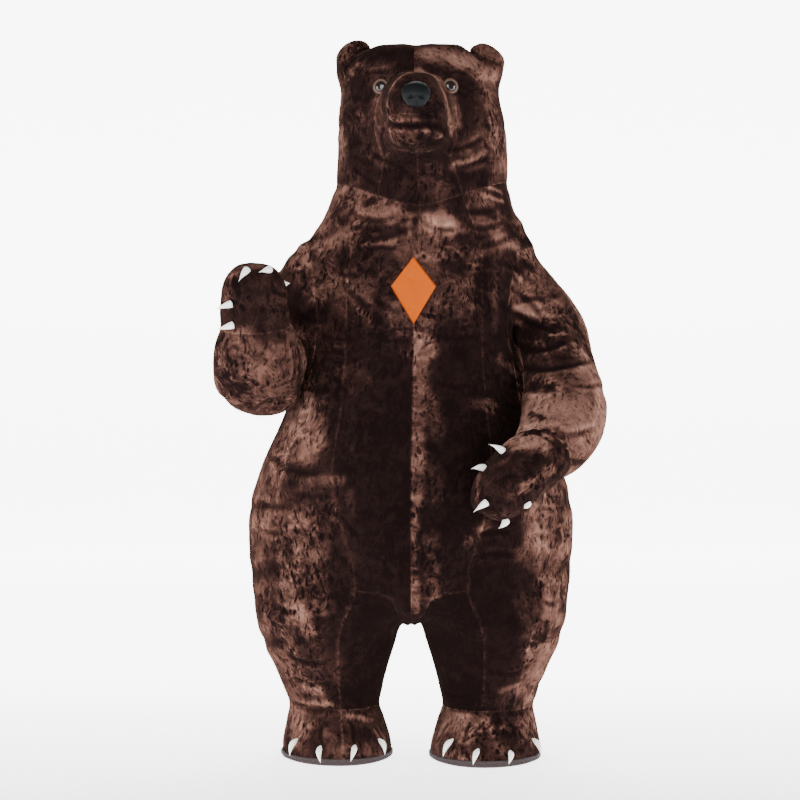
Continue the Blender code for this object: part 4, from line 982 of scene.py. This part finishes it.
SOLE_POINTS = 120
SOLE_RINGS = (  # how far in from the sole's edge, and how high
    (0.034, 0.0139), (0.006, 0.0139), (0.0012, 0.0136), (0.0, 0.0120), (0.0, 0.0090), (0.0012, 0.0080),
    (0.0012, 0.0068), (0.0, 0.0058), (0.0, 0.0030), (0.0016, 0.0008), (0.005, 0.0), (0.022, 0.0),
    (0.024, 0.0020), (0.030, 0.0020), (0.032, 0.0),
)
SOLE_TOP = SOLE_RINGS[0][1]
SOLE_EDGE_FROM = 0.08  # points of the solid further than this from its middle are on its edge
SOLE_SMOOTHED = 6  # times that the edge is smoothed
sole_rubber = make_gloss("sole_rubber", (50, 44, 44), (66, 58, 58), 260, 0.8, bump=0.0008, shine=0.1)
for side in "lr":
    low, high = box_of("sole_" + side)
    middle = (low + high) / 2
    seen = {(round(vert.co.x, 4), round(vert.co.y, 4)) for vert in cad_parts["sole_" + side].data.vertices}
    polar = sorted((math.atan2(y - middle.y, x - middle.x), math.hypot(x - middle.x, y - middle.y)) for x, y in seen)
    turns, reaches = np.array([place for place in polar if place[1] > SOLE_EDGE_FROM]).T
    steps = np.linspace(-math.pi, math.pi, SOLE_POINTS, endpoint=False)
    reach = np.interp(steps, np.concatenate([turns - math.tau, turns, turns + math.tau]), np.tile(reaches, 3))
    for _ in range(SOLE_SMOOTHED):
        reach = (np.roll(reach, 1) + 2 * reach + np.roll(reach, -1)) / 4
    points = []
    for inset, height in SOLE_RINGS:
        for turn, far in zip(steps, reach):
            toes = SOLE_SHOWS * max(0, -math.sin(turn)) ** 2 * height / SOLE_TOP
            across, ahead = (far - inset) * math.cos(turn), (far - inset) * math.sin(turn)
            points.append((middle.x + across, middle.y + ahead, height + toes))
    faces = [range(SOLE_POINTS), list(reversed(range(len(points) - SOLE_POINTS, len(points))))]
    faces += between_rings(len(SOLE_RINGS), SOLE_POINTS, downward=True)
    add_mesh("rubber_sole_" + side, points, faces, (sole_rubber,), "sole_" + side)


# ---- Chest diamond and zip cover ----
# A plain diamond of short orange plush is sewn flat on the chest over the middle seam.
# A strip of the brown plush lies over the closed zip that runs up the middle of the back.

DIAMOND_GRID = (44, 44)
ZIP_GRID = (10, 200)
ROLL = 0.006  # width of the rolled, stitched edge
ROLL_LOW = 0.25  # how high the very edge stands, as a share of the face
STITCH = (0.8, 0.0015, 0.0007)  # the ridge of the stitching: its place in the roll, half width and height
LAID_LIFT = 0.0032  # how far a laid piece's face stands off the plush under it
LAID_STIFF = 12  # how little its stiff backing follows the ripples under it
UNDER_SHARE, UNDER_IN = 0.8, (0.01, 0, 0.01)  # how far its edge goes down and in under it
folded_tree = tree_of(skin)


def add_laid(name, node, corners, grid, way, material, tone, edge_shade):
    """A flat sewn-on piece between four corners, facing way along Y, with its edge rolled in."""
    a, b, c, d = (Vector(corner) for corner in corners)  # corners in order, as across and up
    wide, long = grid
    place = np.empty((wide + 1, long + 1, 3))
    inner = np.empty((wide + 1, long + 1))  # how far each point is from the piece's edge
    for u in range(wide + 1):
        for v in range(long + 1):
            s, t = u / wide, v / long
            x, z = a.lerp(b, s).lerp(d.lerp(c, s), t)
            place[u, v] = folded_tree.ray_cast(Vector((x, way, z)), Vector((0, -way, 0)))[0]
            inner[u, v] = min(min(s, 1 - s) * min((b - a).length, (c - d).length), min(t, 1 - t) * (d - a).length)
    depth = place[:, :, 1].copy()
    for _ in range(LAID_STIFF):
        padded = np.pad(depth, 1, mode="edge")
        depth = (padded[:-2, 1:-1] + padded[2:, 1:-1] + padded[1:-1, :-2] + padded[1:-1, 2:]) / 4
    depth = way * np.maximum(way * depth, way * place[:, :, 1])
    height = LAID_LIFT * (ROLL_LOW + (1 - ROLL_LOW) * np.sin(rising(inner, ROLL) * math.pi / 2))
    height += STITCH[2] * np.exp(-(((inner - ROLL * STITCH[0]) / STITCH[1]) ** 2))
    place[:, :, 1] = depth + way * height
    points = place.reshape(-1, 3)
    row = long + 1
    starts = [u * row + v for u in range(wide) for v in range(long)]
    faces = [(a, a + row, a + row + 1, a + 1) for a in starts]
    if way > 0:
        faces = [face[::-1] for face in faces]
    border = [u * row for u in range(wide)] + [wide * row + v for v in range(long)]
    border += [u * row + long for u in range(wide, 0, -1)] + list(range(long, 0, -1))
    under = points[border]
    under[:, 1] -= way * LAID_LIFT * UNDER_SHARE
    under += (points.mean(0) - under) * UNDER_IN
    for number, corner in enumerate(border):
        after = (number + 1) % len(border)
        edge = (corner, border[after], len(points) + after, len(points) + number)
        faces.append(edge if way > 0 else edge[::-1])
    piece = add_mesh(name, np.concatenate([points, under]).tolist(), faces, (material,), node)
    values = np.full(len(points) + len(under), tone)
    # painted shade darkens the rolled edge
    values[:len(points)] += np.where(inner.reshape(-1) < ROLL / 2, edge_shade, 0)
    paint(piece.data, "nap_and_painted_light", values)
    paint(piece.data, "parting", np.zeros(len(values)))


ORANGE_TONES = ((0.0, (104, 42, 12)), (0.35, (142, 63, 19)), (0.6, (162, 75, 25)), (1.0, (184, 94, 38)))
orange_plush = make_plush("orange_plush", ORANGE_TONES, 0.0010, 0.22)
WAIST_SHARE = 0.563  # height of the diamond's widest place, as a share of its height
low, high = box_of("chest_diamond")
middle_x = (low.x + high.x) / 2
widest = low.z + (high.z - low.z) * WAIST_SHARE
add_laid(
    "diamond_patch", "chest_diamond", ((middle_x, low.z), (high.x, widest), (middle_x, high.z), (low.x, widest)),
    DIAMOND_GRID, -1, orange_plush, 0.62, -0.35,
)
low, high = box_of("zip_cover")
add_laid(
    "zip_flap", "zip_cover", ((low.x, low.z), (high.x, low.z), (high.x, high.z), (low.x, high.z)),
    ZIP_GRID, 1, brown_plush, 0.42, -0.2,
)


# ---- Room and light ----
# A seamless sheet of pale paper that curves up behind and glows by itself, and broad soft lights from the front and
# both sides.

FLOOR_HALF, FLOOR_BACK, FLOOR_CURVE, FLOOR_HEIGHT = 14.0, 10.5, 2.5, 11.0
CURVE_FROM, CURVE_POINTS = 0.15, 12  # the turn at which its curve starts, and the points on it
PAPER_GLOW = (1.9, 5.8)  # the paper glows by itself, more and more towards the back, so that it stays near white
GLOW_FROM, GLOW_TO = -0.8, 2.4
profile = [(-FLOOR_HALF, 0.0), (FLOOR_BACK, 0.0)]
for turn in np.linspace(CURVE_FROM, math.pi / 2, CURVE_POINTS):
    profile.append((FLOOR_BACK + FLOOR_CURVE * math.sin(turn), FLOOR_CURVE * (1 - math.cos(turn))))
profile.append((FLOOR_BACK + FLOOR_CURVE, FLOOR_HEIGHT))
corners = [(x, y, z) for y, z in profile for x in (-FLOOR_HALF, FLOOR_HALF)]
floor_mesh = bpy.data.meshes.new("floor")
floor_mesh.from_pydata(corners, [], [(2 * n, 2 * n + 1, 2 * n + 3, 2 * n + 2) for n in range(len(profile) - 1)])
floor_mesh.shade_smooth()
add, finish = start_finish("glowing_pale_paper")
place = add("SeparateXYZ", {"Vector": add("TexCoord")["Object"]})["Y"]
floor_mesh.materials.append(finish(
    Base_Color=(0.93, 0.93, 0.93, 1), Roughness=0.9, Specular_IOR_Level=0.1, Emission_Color=(1, 1, 1, 1),
    Emission_Strength=spread(add, place, GLOW_FROM, GLOW_TO, *PAPER_GLOW),
))
put_in_scene("floor", floor_mesh)

# Each light: its name, its place, the height it aims at, its size and its power.
LIGHTS = (
    ("front_light", (-1.2, -5.5, 3.6), 1.3, 3.5, 318), ("left_light", (5.0, -2.5, 2.6), 1.3, 3.0, 270),
    ("right_light", (-5.0, -2.0, 2.4), 1.3, 3.0, 270), ("back_light", (0.5, 3.0, 4.5), 1.4, 2.5, 120),
)
for name, place, aim, size, power in LIGHTS:
    lamp = bpy.data.lights.new(name, "AREA")
    lamp.size = size
    lamp.energy = power
    lit = put_in_scene(name, lamp)
    lit.location = place
    lit.rotation_euler = (Vector((0, 0, aim)) - Vector(place)).to_track_quat("-Z", "Y").to_euler()
world = bpy.data.worlds.new("studio")
world.use_nodes = True
set_inputs(world.node_tree.links, world.node_tree.nodes["Background"], {"Color": (1, 1, 1, 1), "Strength": 0.30})
bpy.context.scene.world = world

CAMERA_PLACE = (-0.0339, -7.8694, 1.296)
LENS, SENSOR = 98.9, 36
camera_data = bpy.data.cameras.new("camera")
camera_data.sensor_width = SENSOR
camera_data.lens = LENS
camera = put_in_scene("camera", camera_data)
camera.location = CAMERA_PLACE
camera.rotation_euler = (math.pi / 2, 0, 0)
bpy.context.scene.camera = camera
